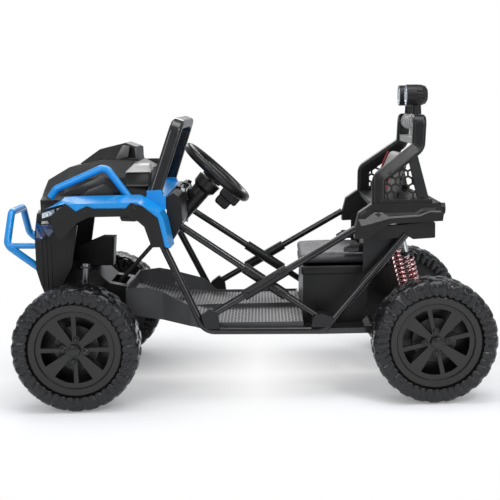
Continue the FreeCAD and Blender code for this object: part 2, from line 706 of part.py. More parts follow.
def make_scoop():
    """The raised intake on top of the bonnet, with a slot in each side of its back."""
    outline = [(6, 608), (6, 630), (-45, 666), (-115, 682), (-145, 671), (-150, 640), (-150, 620)]
    scoop = prism(from_front(outline), -74, 74)
    for side in (-1, 1):
        cutter = front_prism([(side * 48, 700), (side * 90, 700), (side * 90, 630), (side * 74, 630)],
                             front(-200), front(60))
        scoop = scoop.cut(cutter)
    window = prism(from_front([(-122, 641), (-127, 671), (-138, 667), (-142, 641)]), 50, 80)
    return scoop.cut(window).cut(mirrored(window)).cut(hood_form(0))


def make_hood_tube():
    points = [
        Vector(front(62), HOOD_TUBE_Y, 550), Vector(front(47), HOOD_TUBE_Y, 572),
        Vector(front(-84), HOOD_TUBE_Y, 628), Vector(front(-142), HOOD_TUBE_Y, 546),
    ]
    return bent_tube(points, 22, HOOD_TUBE_RADIUS).cut(make_fender())


def nose_form(inset):
    """The nose's outer form, crowned in plan, or the room inside it, inset by the wall."""
    face = [(117, 500), (126, 446), (127, 347), (117, 308), (104, 270)]
    back = [(60, 300), (31, 352), (11, 467), (60, 498)]
    if inset:
        face = [(111 - inset, 540)] + [(x - inset, z) for x, z in face] + [(88 - inset, 240)]
        back = [(0, 240), (0, 540)]
    wires = []
    stations = ((-NOSE_HALF_WIDTH, 0), (-NOSE_FLAT, NOSE_CROWN), (NOSE_FLAT, NOSE_CROWN),
                (NOSE_HALF_WIDTH, 0))
    for y, ahead in stations:
        y_in = y if abs(y) < NOSE_HALF_WIDTH else y - math.copysign(inset, y)
        wires.append(side_wire(from_front([(x + ahead, z) for x, z in face] + back), y_in))
    return Part.makeLoft(wires, True, True)


def make_nose():
    """The upright nose: a crowned front wall with a slotted grille and two deep side walls."""
    nose = nose_form(0).cut(nose_form(NOSE_WALL))
    for i in range(GRILLE_SLOTS):
        half = 104 - 7 * i
        z = 452 - i * GRILLE_PITCH
        nose = nose.cut(front_prism([(-half, z), (half, z), (half - 6, z - 12), (6 - half, z - 12)],
                                    front(60), front(170)))
    return nose


def bumper_points():
    reach = front(FRONT_OVERHANG) - BUMPER_RADIUS
    half = [
        Vector(front(112), 128, 340), Vector(reach, 132, 414), Vector(reach - 1, 66, 497),
    ]
    return half + [Vector(p.x, -p.y, p.z) for p in reversed(half)]


def make_bumper():
    """The bull bar: one bent loop with a strut at each corner, both seated on the nose."""
    loop = bent_tube(bumper_points(), 26, BUMPER_RADIUS)
    corner = bumper_points()[1]
    strut = rod(Vector(front(100), corner.y - 2, 410), Vector(corner.x, corner.y - 2, 412),
                BUMPER_STRUT_RADIUS)
    bar = fuse([loop, strut, mirrored(strut)])
    bar.translate(Vector(LENGTH / 2 - bar.optimalBoundingBox().XMax, 0, 0))
    seat = nose_form(0)
    seat.translate(Vector(SEAT_GAP, 0, 0))
    bar = bar.cut(seat).cut(box(0, front(110), -200, 200, 300, 480))
    return max(bar.Solids, key=lambda solid: solid.Volume)


def headlight_form():
    """The left lamp housing before its pockets are cut."""
    outline = from_front([
        (82, 516), (56, 529 - SEAT_GAP), (14, 540.3 - SEAT_GAP), (14, 505), (33, 470), (56, 454), (64, 464),
        (77, 488), (73, 498),
    ])
    return prism(outline, NOSE_HALF_WIDTH + SEAT_GAP, LIGHT_OUTER).cut(hood_form(0))


def lens_outlines():
    """The side outlines of the headlight's long and short lens."""
    return (from_front([(71, 503), (70, 518), (37, 527.5), (38, 513)]),
            from_front([(34, 515), (33, 529), (18, 533.5), (18, 521)]))


def make_headlight():
    """The left lamp housing at the corner between nose and mudguard, under its visor."""
    housing = headlight_form()
    for outline in lens_outlines():
        housing = housing.cut(prism(outline, FENDER_INNER, LIGHT_OUTER + 1))
    mouth = from_front([(100, 499), (100, 509), (70, 518), (71, 499)])
    return housing.cut(prism(mouth, NOSE_HALF_WIDTH, LIGHT_OUTER + 1))


def make_head_lenses():
    """The left headlight's two lenses and the faceted corner lamp below them."""
    lenses = []
    for outline in lens_outlines():
        inset = offset_line(outline[-1:] + outline + outline[:1], SEAT_GAP)[1:-1]
        lenses.append(prism(inset, FENDER_INNER + SEAT_GAP, LIGHT_OUTER - 2))
    base = side_wire(from_front([(120, 480), (80, 455), (112, 424), (124, 434)]), NOSE_HALF_WIDTH + SEAT_GAP)
    tip = side_wire(from_front([(100, 470), (82, 456), (96, 440), (102, 446)]), NOSE_HALF_WIDTH + 34)
    lenses.append(Part.makeLoft([base, tip], True, True))
    return lenses


def make_cowl():
    """The coloured cowl behind the bonnet, with a collared socket for each foot of the hoop."""
    half_width = FENDER_STEP - SEAT_GAP
    strip = prism(from_front([(COWL_FRONT, COWL_LOW), (COWL_FRONT, 552), (-200, 558), (COWL_BACK, 550),
                              (COWL_BACK, COWL_LOW)]), -half_width, half_width)
    collar = prism(from_front([(-191, 545), (-189, 564), (-226, 566), (-234, 545)]),
                   half_width - 34, half_width)
    return fuse([strip, collar, mirrored(collar)]).cut(make_hoop())


def hoop_points():
    low = Vector(front(-206), 222, 548)
    high = Vector(front(-271), 194, 735)
    return [low, high, Vector(high.x, -high.y, high.z), Vector(low.x, -low.y, low.z)]


def make_hoop():
    """The padded grab hoop, a flattened bar bent in one plane."""
    points = hoop_points()
    path = Part.Wire(rounded_edges(points, 32))
    direction = unit(points[1] - points[0])
    across = Vector(0, 1, 0)
    ahead = unit(across.cross(direction))
    across = unit(direction.cross(ahead))
    corners = [points[0] + ahead * (a * HOOP_DEPTH / 2) + across * (b * HOOP_WIDTH / 2) for a, b in SQUARE]
    profile = Part.Wire(rounded_edges(corners, 9, closed=True))
    return path.makePipeShell([profile], True, False)


def make_dashboard():
    """The dashboard, with its instrument pod, the column's bush and a socket for each front brace."""
    back = COWL_BACK - SEAT_GAP
    outline = from_front([
        (back, COWL_LOW), (back, 545), (-258, 557), (-271, 547), (-278, 520), (-279, 480), (-268, 456),
        (-252, 430), (-242, 470),
    ])
    dash = prism(outline, -DASH_HALF_WIDTH, DASH_HALF_WIDTH)
    pod = prism(from_front([(-243, 533), (-254, 564), (-275, 556), (-286, 525), (-262, 515)]), -82, 82)
    recess = prism(from_front([(-261, 567), (-278, 560), (-290, 524), (-282, 524), (-271, 551), (-259, 557)]),
                   -72, 72)
    dash = fuse([dash, pod.cut(recess)])
    for brace in make_braces():
        dash = dash.cut(brace).cut(mirrored(brace))
    return dash.cut(column_space(COLUMN_RADIUS + RUNNING_GAP))


def make_shroud():
    """The hollow column cover from the dashboard up to a wider collar below the wheel's hub."""
    low = HUB_POINT + COLUMN_DOWN * SHROUD_LENGTH
    high = HUB_POINT + COLUMN_DOWN * SHROUD_TOP
    top = SHROUD_LENGTH - SHROUD_TOP
    bore = COLUMN_RADIUS + COLUMN_CLEARANCE
    inner = SHROUD_RADIUS - SHROUD_WALL
    profile = [(SHROUD_RADIUS, 0), (SHROUD_RADIUS, top - 35), (SHROUD_RADIUS + 8, top - 25),
               (SHROUD_RADIUS + 10, top), (bore, top)]
    wall = [(bore, top - SHROUD_WALL), (inner + 10, top - SHROUD_WALL), (inner + 8, top - 23),
            (inner, top - 33), (inner, 0)]
    ring = [Vector(r, 0, z) for r, z in profile + wall]
    shroud = Part.Face(Part.makePolygon(ring + ring[:1])).revolve(Vector(0, 0, 0), Vector(0, 0, 1), 360)
    shroud.Placement = FreeCAD.Placement(low, FreeCAD.Rotation(Vector(0, 0, 1), high - low))
    shroud = shroud.cut(make_dashboard())
    return max(shroud.Solids, key=lambda solid: solid.Volume)


# Seat

def make_seat_box():
    outline = from_rear([(SEAT_BOX_FRONT - SEAT_GAP, SEAT_BOX_LOW), (337, SEAT_BOX_TOP), (158, SEAT_BOX_TOP),
                         (165, 200), (180, SEAT_BOX_LOW)])
    body = prism(outline, -SEAT_BOX_HALF_WIDTH, SEAT_BOX_HALF_WIDTH, 10)
    room_half = SEAT_BOX_HALF_WIDTH - SEAT_BOX_WALL
    room = box(rear(178), rear(325), -room_half, room_half, SEAT_BOX_FLOOR, SEAT_BOX_TOP - SEAT_BOX_WALL)
    return body.cut(room)


def make_battery():
    return box(rear(200), rear(310), -76, 76, SEAT_BOX_FLOOR + SEAT_GAP, SEAT_BOX_FLOOR + 100)


def make_cushion():
    low = SEAT_BOX_TOP + SEAT_GAP
    outline = from_rear([(SEAT_BOX_FRONT, low), (349, 358), (334, CUSHION_TOP), (158, CUSHION_TOP - 5),
                         (158, low)])
    return prism(outline, -CUSHION_HALF_WIDTH, CUSHION_HALF_WIDTH, 10)


def make_seat_back():
    low = SEAT_BOX_TOP - BACK_SUNK
    outline = from_rear([(157.7, low), (157.7, 398), (74, 640), (64, 648), (32, 640), (36, 618), (112, 395),
                         (118, low)])
    back = prism(outline, -BACK_HALF_WIDTH, BACK_HALF_WIDTH, 8)
    for side in (-1, 1):
        corner = [(side * 90, 660), (side * 140, 660), (side * 140, 520)]
        back = back.cut(front_prism(corner, rear(0), rear(200)))
    return back


# Rear body

def make_deck():
    """The cargo deck behind the seat back, with a tower down to each shock absorber."""
    edge = PANEL_INNER - SEAT_GAP
    low = DECK_Z - DECK_THICKNESS
    plate = box(rear(DECK_TAIL), rear(150), -edge, edge, low, DECK_Z)
    tower = box(rear(48), rear(78), SHOCK_TOP_Y - 12, SHOCK_TOP_Y + 12, shock_ends()[0].z + SEAT_GAP, low)
    return fuse([plate, tower, mirrored(tower)]).cut(make_seat_back())


def make_rear_panel():
    """The left side panel of the rear deck: a recessed upper band, a stepped lower face and the skirt."""
    step = DECK_HALF_WIDTH - PANEL_STEP
    outline = from_rear([
        (202, 426), (201, 453), (190, 494), (156, PANEL_TOP), (-13, PANEL_TOP), (-27, 510), (-35, 489),
        (-32, 470), (109, 464), (146, 441), (162, 427),
    ])
    step_line = [(191, 490), (174, 503), (148, 492), (42, 494), (24, 504), (-14, 505), (-28, 500)]
    base = [(-35, 489), (-32, 470), (109, 464), (146, 441), (162, 427), (202, 426), (201, 453)]
    wires = [side_wire(from_rear(step_line + base), step),
             side_wire(from_rear(offset_line(step_line, 6) + base), DECK_HALF_WIDTH)]
    face = Part.makeLoft(wires, True, True)
    skirt_outline = from_rear([(150, 438), (120, 458), (-14, 466), (-14, 424), (45, 421), (60, 430),
                               (130, 420)])
    skirt = prism(skirt_outline, PANEL_INNER + 6, step - 3, 3)
    panel = fuse([prism(outline, PANEL_INNER, step), face, skirt]).cut(make_rail())
    for brace in make_braces():
        panel = panel.cut(brace)
    return panel


def roll_points():
    base_y = DECK_HALF_WIDTH - ROLL_BASE_INSET
    top_y = base_y - ROLL_LEAN
    top_z = ROLL_TOP_Z - ROLL_DEPTH / 2
    return [
        Vector(rear(136), base_y, PANEL_TOP + SEAT_GAP), Vector(rear(135), base_y - 8, 582),
        Vector(rear(ROLL_MAST + 4), top_y + 2, 662), Vector(rear(ROLL_MAST), top_y, top_z),
        Vector(rear(ROLL_MAST), top_y - ROLL_TOP_TURN, top_z),
    ]


def make_roll_frame():
    """The left side of the roll frame: a bent bar, a rear leg and the sill that joins their feet."""
    points = roll_points()
    path = Part.Wire(rounded_edges(points, 24))
    corners = [points[0] + Vector(a * ROLL_WIDTH / 2, b * ROLL_DEPTH / 2, 0) for a, b in SQUARE]
    profile = Part.Wire(rounded_edges(corners, ROLL_CORNER, closed=True))
    bar = path.makePipeShell([profile], True, False)
    leg_top = Vector(rear(40), points[2].y + 12, 640)
    leg_low = Vector(rear(14), points[0].y - 5, points[0].z)
    wires = []
    for centre, width in ((leg_top, 26), (leg_low, 30)):
        ring = [Vector(centre.x + a * width / 2, centre.y + b * 9, centre.z) for a, b in SQUARE]
        wires.append(Part.makePolygon(ring + ring[:1]))
    leg = Part.makeLoft(wires, True, True)
    sill = box(rear(-6), rear(136), points[0].y - ROLL_DEPTH / 2, points[0].y + ROLL_DEPTH / 2, points[0].z,
               points[0].z + SILL_HEIGHT)
    return fuse([bar, leg, sill])


def make_roll_mesh():
    """The left honeycomb panel that fills the window of the roll frame's side."""
    foot = roll_points()[0]
    head = roll_points()[2]
    window = prism([(rear(130), 0), (rear(128), 66), (rear(36), 130), (rear(4), 130), (rear(8), 0)],
                   -MESH_THICKNESS / 2, MESH_THICKNESS / 2)
    across = MESH_CELL - MESH_BAR
    holes = []
    for row in range(int(140 / MESH_CELL) + 1):
        for column in range(int(150 / MESH_CELL) + 1):
            x = rear(8) + (column + row % 2 / 2) * MESH_CELL
            z = SILL_HEIGHT + 9 + row * MESH_CELL * math.sqrt(3) / 2
            cell = [(x + a, z + b) for a, b in ring_points(6, across / math.sqrt(3), 30)]
            holes.append(prism(cell, -MESH_THICKNESS, MESH_THICKNESS))
    panel = window.cut(Part.makeCompound(holes))
    lean = math.degrees(math.atan2(foot.y - 5 - head.y, head.z - foot.z))
    panel.rotate(Vector(0, 0, 0), Vector(1, 0, 0), lean)
    panel.translate(Vector(0, foot.y - 2, foot.z))
    panel = panel.cut(make_roll_frame())
    return max(panel.Solids, key=lambda solid: solid.Volume)


def make_roll_top():
    """The slatted cross panel between the two sides of the roll frame."""
    side = roll_points()[3]
    inner = side.y - ROLL_DEPTH / 2 - SEAT_GAP
    spine = box(side.x - 14, side.x - 6, -inner, inner, ROLL_TOP_Z - 34, ROLL_TOP_Z)
    low_bar = box(side.x - 12, side.x + 14, -inner, inner, 668, 686)
    middle = box(side.x - 11, side.x + 3, -16, 16, 680, ROLL_TOP_Z - 20)
    centre = Vector(side.x - 8, 0, ROLL_TOP_Z - SLAT_RADIUS)
    room = box(centre.x, centre.x + 30, -inner, inner, ROLL_TOP_Z - 60, ROLL_TOP_Z)
    slats = []
    for i in range(-3, 4):
        place = centre + Vector(0, i * SLAT_PITCH - SLAT_WIDTH / 2, 0)
        slat = Part.makeCylinder(SLAT_RADIUS, SLAT_WIDTH, place, Vector(0, 1, 0))
        slat = slat.cut(Part.makeCylinder(SLAT_RADIUS - SLAT_WALL, SLAT_WIDTH, place, Vector(0, 1, 0)))
        slats.append(slat.common(room))
    frame = make_roll_frame()
    return fuse([spine, low_bar, middle] + slats).cut(frame).cut(mirrored(frame))


def lamp_body(y):
    """One round lamp: a domed, grooved case with a rim round its lens, on a short stem."""
    inner = LAMP_RADIUS - LAMP_RIM
    profile = [(0, 0), (LAMP_RADIUS - 13, 0), (LAMP_RADIUS - 5, 5), (LAMP_RADIUS - 1, 16), (LAMP_RADIUS, 30),
               (LAMP_RADIUS, LAMP_DEPTH), (inner, LAMP_DEPTH), (inner, LAMP_DEPTH - LENS_DEPTH),
               (0, LAMP_DEPTH - LENS_DEPTH)]
    ring = [Vector(r, 0, x) for r, x in profile]
    case = Part.Face(Part.makePolygon(ring + ring[:1])).revolve(Vector(0, 0, 0), Vector(0, 0, 1), 360)
    facing = FreeCAD.Rotation(Vector(0, 0, 1), Vector(1, 0, 0))
    case.Placement = FreeCAD.Placement(Vector(rear(LAMP_BACK), y, LAMP_Z), facing)
    for z in (-10, 0, 10):
        for side in (-1, 1):
            edges = sorted((y + side * LAMP_RADIUS, y + side * (LAMP_RADIUS - LAMP_GROOVE - abs(z) / 4)))
            case = case.cut(box(rear(LAMP_BACK), rear(18), *edges, LAMP_Z + z - 2, LAMP_Z + z + 2))
    foot = Vector(roll_points()[3].x - 4, y, ROLL_TOP_Z + SEAT_GAP)
    stem = Part.makeCone(13, 10, LAMP_Z - foot.z, foot)
    return fuse([case, stem])


def make_lamps():
    """The two round lamps on top of the roll frame."""
    return [lamp_body(LAMP_Y), lamp_body(-LAMP_Y)]


def make_lamp_lens(y):
    """The domed lens of one round lamp."""
    start = Vector(rear(LAMP_BACK + LAMP_DEPTH) - LENS_DEPTH + SEAT_GAP, y, LAMP_Z)
    radius = LAMP_RADIUS - LAMP_RIM - SEAT_GAP
    disc = Part.makeCylinder(radius, 4, start, Vector(1, 0, 0))
    dome = Part.makeCone(radius, LAMP_RADIUS - 12, 3, start + Vector(4, 0, 0), Vector(1, 0, 0))
    return fuse([disc, dome])


def make_tail_lamps():
    centre = Vector(rear(DECK_TAIL - SEAT_GAP), PANEL_INNER - TAIL_LAMP_RADIUS, DECK_Z - 17)
    return both_sides(rod(centre, centre - Vector(TAIL_LAMP_DEPTH, 0, 0), TAIL_LAMP_RADIUS))


# Rear chassis

def make_rear_frame():
    """Two long rails with the axle's bearing plates, two members between them and the seat box's shelf."""
    low = RAIL_Z - FRAME_DROP
    high = low + FRAME_RAIL_HEIGHT
    inner = FRAME_RAIL_Y - FRAME_RAIL_WIDTH / 2
    rail = box(rear(FRAME_TAIL), rear(300), inner, inner + FRAME_RAIL_WIDTH, low, high)
    bearing = box(rear(-24), rear(24), inner, inner + FRAME_RAIL_WIDTH, low, BEARING_TOP)
    axle = rod(Vector(REAR_X, -300, AXLE_Z), Vector(REAR_X, 300, AXLE_Z), AXLE_RADIUS)
    rail = fuse([rail, bearing]).cut(axle)
    reach = inner - SEAT_GAP
    cross = box(rear(150), rear(170), -reach, reach, low, high)
    back = box(rear(FRAME_TAIL), rear(FRAME_TAIL + 16), -reach, reach, low, high)
    hitch = Vector(rear(FRAME_TAIL + 8), 0, low)
    hitch_top = hitch + Vector(0, 0, FRAME_RAIL_HEIGHT)
    back = fuse([back, rod(hitch, hitch_top, HITCH_RADIUS + 8)]).cut(rod(hitch, hitch_top, HITCH_RADIUS))
    shelf = box(rear(175), rear(SEAT_BOX_FRONT) - SEAT_GAP, -TUB_HALF_WIDTH, TUB_HALF_WIDTH, high + SEAT_GAP,
                SEAT_BOX_LOW - SEAT_GAP)
    return both_sides(rail) + [cross, back, shelf]


def make_rear_axle():
    """The axle shaft with a collar inside each wheel."""
    shoulder = WHEEL_Y - AXLE_SHOULDER
    collar = rod(Vector(REAR_X, shoulder - 14, AXLE_Z), Vector(REAR_X, shoulder, AXLE_Z), AXLE_COLLAR_RADIUS)
    end = Vector(REAR_X, WHEEL_Y + AXLE_END, AXLE_Z)
    return fuse([rod(Vector(end.x, -end.y, end.z), end, AXLE_RADIUS), collar, mirrored(collar)])


def make_gearboxes():
    outline = from_rear([(-42, 130), (-42, 186), (0, 202), (44, 194), (70, 166), (60, 118), (10, 112)])
    gearbox = prism(outline, GEARBOX_OUTER - GEARBOX_WIDTH, GEARBOX_OUTER, 12)
    shaft_room = rod(Vector(REAR_X, 0, AXLE_Z), Vector(REAR_X, WHEEL_Y, AXLE_Z), AXLE_COLLAR_RADIUS + SEAT_GAP)
    return both_sides(gearbox.cut(shaft_room))


def shock_ends():
    """The top of the left shock absorber's rod and the middle of the eye at its foot."""
    eye_height = BEARING_TOP + SHOCK_EYE_RADIUS + SEAT_GAP
    return Vector(rear(63), SHOCK_TOP_Y, 420), Vector(rear(12), SHOCK_FOOT_Y, eye_height)


def make_shocks():
    """The rear shock absorbers: each a rod, a body and an eye, with a coil spring between two seats."""
    top, low = shock_ends()
    down = unit(low - top)
    coil_top = top + down * COIL_START
    coil_length = (low - coil_top).Length - SHOCK_EYE_RADIUS
    seat_radius = SPRING_RADIUS + SPRING_WIRE + 2
    body = rod(top + down * 90, low, SPRING_RADIUS - SPRING_WIRE - SEAT_GAP)
    stem = rod(top, top + down * 95, SHOCK_ROD_RADIUS)
    seat_top = rod(coil_top - down * 5, coil_top - down * SEAT_GAP, seat_radius)
    seat_low = rod(low - down * (SHOCK_EYE_RADIUS - SEAT_GAP), low - down * 6, seat_radius)
    eye = rod(low - Vector(0, 10, 0), low + Vector(0, 10, 0), SHOCK_EYE_RADIUS)
    shock = fuse([body, stem, seat_low, seat_top, eye])
    shock = shock.cut(box(top.x - 40, top.x + 40, 0, 2 * SHOCK_TOP_Y, top.z, top.z + 40))
    pitch = (coil_length - 2 * SPRING_WIRE) / SPRING_TURNS
    helix = Part.makeHelix(pitch, pitch * SPRING_TURNS, SPRING_RADIUS)
    corners = [Vector(SPRING_RADIUS + a, 0, b) for a, b in ring_points(6, SPRING_WIRE)]
    section = Part.makePolygon(corners + corners[:1])
    coil = Part.Wire(helix).makePipeShell([section], True, True)
    laid = FreeCAD.Rotation(Vector(0, 0, 1), down)
    coil.Placement = FreeCAD.Placement(coil_top + down * SPRING_WIRE, laid)
    return both_sides(shock) + both_sides(coil)


def make_side_gusset():
    """The left plate between the seat box, the deck and the rail."""
    outline = from_rear([(175, 446), (177, 324), (78, 403), (92, 446)])
    return prism(outline, PANEL_INNER - SEAT_GAP - 6, PANEL_INNER - SEAT_GAP)


def build():
    os.makedirs("parts", exist_ok=True)
    tyre = make_tyre()
    rim = make_rim()
    for end, x, turn in (("front", FRONT_X, 0), ("rear", REAR_X, REAR_WHEEL_TURN_DEG)):
        for side_name, side in (("left", 1), ("right", -1)):
            save("tyre_" + end + "_" + side_name, [place_wheel(tyre, x, side, 0)])
            save("rim_" + end + "_" + side_name, [place_wheel(rim, x, side, turn)])
    sided = {
        "knuckle": [make_knuckle()],
        "side_rail": [make_rail()],
        "brace_bars": make_braces(),
        "cross_clamp": [make_cross_clamp()],
        "brace_feet": make_brace_feet(),
        "fender": [make_fender()],
        "fender_trim": [make_fender_trim()],
        "hood_tube": [make_hood_tube()],
        "headlight": [make_headlight()],
        "rear_panel": [make_rear_panel()],
        "roll_frame": [make_roll_frame()],
    }
    for name, solids in sided.items():
        save(name + "_left", solids)
        save(name + "_right", [mirrored(solid) for solid in solids])
    head_lenses = make_head_lenses()
    head_lenses += [mirrored(lens) for lens in head_lenses]
    single = {
        "tie_rod": [make_tie_rod()],
        "steering_wheel": [make_steering_wheel()],
        "steering_column": [make_column()],
        "front_beam": [make_front_beam()],
        "front_box": [make_front_box()],
        "floor_tub": [make_tub(), make_pedal()],
        "hood": [make_hood()],
        "hood_scoop": [make_scoop()],
        "nose": [make_nose()],
        "bumper": [make_bumper()],
        "cowl": [make_cowl()],
        "grab_hoop": [make_hoop()],
        "dashboard": [make_dashboard()],
        "column_shroud": [make_shroud()],
        "seat_box": [make_seat_box()],
        "battery": [make_battery()],
        "seat_cushion": [make_cushion()],
        "seat_back": [make_seat_back()],
        "rear_deck": [make_deck()],
        "roll_top": [make_roll_top()],
        "roll_meshes": both_sides(make_roll_mesh()),
        "roof_lamps": make_lamps(),
        "lamp_lenses": head_lenses + [make_lamp_lens(LAMP_Y), make_lamp_lens(-LAMP_Y)],
        "tail_lamps": make_tail_lamps(),
        "rear_frame": make_rear_frame(),
        "rear_axle": [make_rear_axle()],
        "gearboxes": make_gearboxes(),
        "rear_shocks": make_shocks(),
        "side_gussets": both_sides(make_side_gusset()),
    }
    for name, solids in single.items():
        save(name, solids)


build()
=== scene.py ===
# %% [markdown]
# A child's electric buggy, dressed for its portrait
#
# The plain shapes of this buggy come from its solid model, already in metres and already in place.
# This lesson gives every part the finish that the real one has, and adds what a solid model leaves out:
# tread, piping, screws, lamps behind their lenses and a seat that looks soft.
# Each step is one cell, with a few words before it on what the thing is and why it is made so.

# %% Load the frame
import math

import bpy
from mathutils import Matrix, Quaternion, Vector


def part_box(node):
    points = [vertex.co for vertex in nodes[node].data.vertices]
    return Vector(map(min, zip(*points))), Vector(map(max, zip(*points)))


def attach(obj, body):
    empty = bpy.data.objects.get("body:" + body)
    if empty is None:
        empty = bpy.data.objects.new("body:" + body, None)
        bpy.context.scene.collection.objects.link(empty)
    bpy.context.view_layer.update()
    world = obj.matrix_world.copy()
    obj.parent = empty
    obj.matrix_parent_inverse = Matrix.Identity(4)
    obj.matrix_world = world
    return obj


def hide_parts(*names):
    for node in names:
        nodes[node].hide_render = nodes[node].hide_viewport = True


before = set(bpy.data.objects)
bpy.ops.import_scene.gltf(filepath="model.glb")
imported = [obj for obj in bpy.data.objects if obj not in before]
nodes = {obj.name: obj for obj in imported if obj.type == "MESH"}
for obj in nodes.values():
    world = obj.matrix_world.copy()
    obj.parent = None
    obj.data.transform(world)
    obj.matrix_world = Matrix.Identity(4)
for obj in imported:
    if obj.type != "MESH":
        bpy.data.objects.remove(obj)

scene = bpy.context.scene
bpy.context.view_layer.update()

# %% [markdown]
# The camera stands where the photographer stood: nearly square to the buggy's left side, a little above it.
# The frame was cropped after the picture was taken, so the lens is shifted rather than turned.
# A lens of 71 mm is long enough to keep the far wheels almost as large as the near ones.

# %% Camera
def add_camera(place, yaw, pitch, roll, lens, shift):
    """A camera at a place, turned by three angles in degrees, with its lens in millimetres."""
    yaw, pitch, roll = (math.radians(angle) for angle in (yaw, pitch, roll))
    data = bpy.data.cameras.new("portrait_camera")
    data.lens = lens
    data.sensor_width = 36
    data.shift_x, data.shift_y = shift
    data.clip_end = 60
    camera = bpy.data.objects.new("portrait_camera", data)
    scene.collection.objects.link(camera)
    ahead = Vector((math.sin(yaw) * math.cos(pitch), -math.cos(yaw) * math.cos(pitch), -math.sin(pitch)))
    turn = ahead.to_track_quat("-Z", "Y") @ Quaternion((0, 0, 1), roll)
    camera.matrix_world = Matrix.Translation(place) @ turn.to_matrix().to_4x4()
    scene.camera = camera
    return camera


camera = add_camera(place=(-0.0528, 2.8138, 0.7883), yaw=-1.7, pitch=9.36, roll=-0.88, lens=71.15,
                    shift=(-0.0886, 0.0283))
print("camera at", [round(v, 3) for v in camera.location], "lens", camera.data.lens)

# %% [markdown]
# A shader is easier to read as a sum than as a web of nodes.
# This small class holds one socket, and plain arithmetic on it adds the Math nodes.
# Colours and directions don't go through it, because a Math node would turn them into one number.

# %% Arithmetic on sockets
class Field:
    """A number that varies over a surface: one output socket of a shader node."""

    def __init__(self, finish, socket):
        self.finish = finish
        self.socket = socket

    def math(self, operation, other):
        return self.finish.node("ShaderNodeMath", {"operation": operation}, {0: self, 1: other})

    def __add__(self, other):
        return self.math("ADD", other)

    def __sub__(self, other):
        return self.math("SUBTRACT", other)

    def __rsub__(self, other):
        return self * -1 + other

    def __mul__(self, other):
        return self.math("MULTIPLY", other)

    __radd__ = __add__
    __rmul__ = __mul__

    def clamped(self, low, high):
        """The field from low to high, stretched to run from 0 to 1 and held there."""
        return self.finish.node("ShaderNodeMapRange", {"clamp": True},
                                {"Value": self, "From Min": low, "From Max": high})


# %% [markdown]
# A finish is one material with one Principled shader.
# Values that are the same all over go straight onto the shader's sockets, and only what varies gets a link.
# Every pattern reads Object coordinates, which stay fixed to the part however the camera moves.

# %% The finish class
class Finish:
    """One material, built from a Principled shader and a few patterns."""

    def __init__(self, name, colour, roughness, **sockets):
        self.material = bpy.data.materials.new(name)
        self.material.use_nodes = True
        self.tree = self.material.node_tree
        self.tree.nodes.clear()
        self.shader = self.tree.nodes.new("ShaderNodeBsdfPrincipled")
        self.out = self.tree.nodes.new("ShaderNodeOutputMaterial")
        self.tree.links.new(self.shader.outputs["BSDF"], self.out.inputs["Surface"])
        self.shader.inputs["Base Color"].default_value = (*colour, 1)
        self.shader.inputs["Roughness"].default_value = roughness
        for socket, value in sockets.items():
            self.shader.inputs[socket.replace("_", " ").title().replace("Ior", "IOR")].default_value = value
        self.colour = colour

    def node(self, kind, settings=None, sockets=None, output=0):
        """Any node: its type, its settings, then the values or links of its sockets."""
        node = self.tree.nodes.new(kind)
        for key, value in (settings or {}).items():
            setattr(node, key, value)
        for key, value in (sockets or {}).items():
            if isinstance(value, Field):
                self.tree.links.new(value.socket, node.inputs[key])
            else:
                node.inputs[key].default_value = value
        return Field(self, node.outputs[output])

    def feed(self, socket, value):
        self.tree.links.new(value.socket, self.shader.inputs[socket])

    def spot(self):
        """Object coordinates."""
        return self.node("ShaderNodeTexCoord", output="Object")

    def noise(self, size, detail=3.0):
        """Cloudy noise whose blobs are about size metres across."""
        return self.node("ShaderNodeTexNoise", {},
                         {"Vector": self.spot(), "Scale": 1 / size, "Detail": detail})

    def cells(self, size):
        """Distance from the middle of each cell of a pebbled pattern, in cells."""
        return self.node("ShaderNodeTexVoronoi", {}, {"Vector": self.spot(), "Scale": 1 / size})

    def bands(self, direction, scale):
        """Soft bands that follow each other along X or Z."""
        return self.node("ShaderNodeTexWave", {"bands_direction": direction},
                         {"Vector": self.spot(), "Scale": scale})

    def tint(self, mask, other):
        """Base colour goes from the finish's own colour to another where the mask is 1."""
        mixed = self.node("ShaderNodeMix", {"data_type": "RGBA"},
                          {"Factor": mask, 6: (*self.colour, 1), 7: (*other, 1)}, output=2)
        self.feed("Base Color", mixed)

    def relief(self, height, depth, edge=0.0):
        """Bump of the given depth in metres, over edges softened by the radius edge."""
        sockets = {"Height": height, "Distance": depth, "Strength": 1.0}
        if edge:
            sockets["Normal"] = self.node("ShaderNodeBevel", {"samples": 4}, {"Radius": edge})
        self.feed("Normal", self.node("ShaderNodeBump", {}, sockets))

    def edge_mask(self, radius):
        """1 along sharp outer edges within radius, 0 on flat faces."""
        soft = self.node("ShaderNodeBevel", {"samples": 4}, {"Radius": radius})
        hard = self.node("ShaderNodeNewGeometry", output="Normal")
        level = self.node("ShaderNodeVectorMath", {"operation": "DOT_PRODUCT"}, {0: soft, 1: hard}, "Value")
        return (1 - level).clamped(0.02, 0.25)


# %% [markdown]
# The body panels, the tubes and the boxes are moulded or powder-coated in black.
# Moulded panels have a fine grain that scatters light. The coat on tubes is smooth, with a slight ripple.
# Handling polishes the raised edges, so those are a shade lighter and glossier than the flats.

# %% Moulded plastic
def lighter(colour):
    """The shade of a dark colour where it is dusty or polished."""
    return tuple(c * 2 + 0.006 for c in colour)


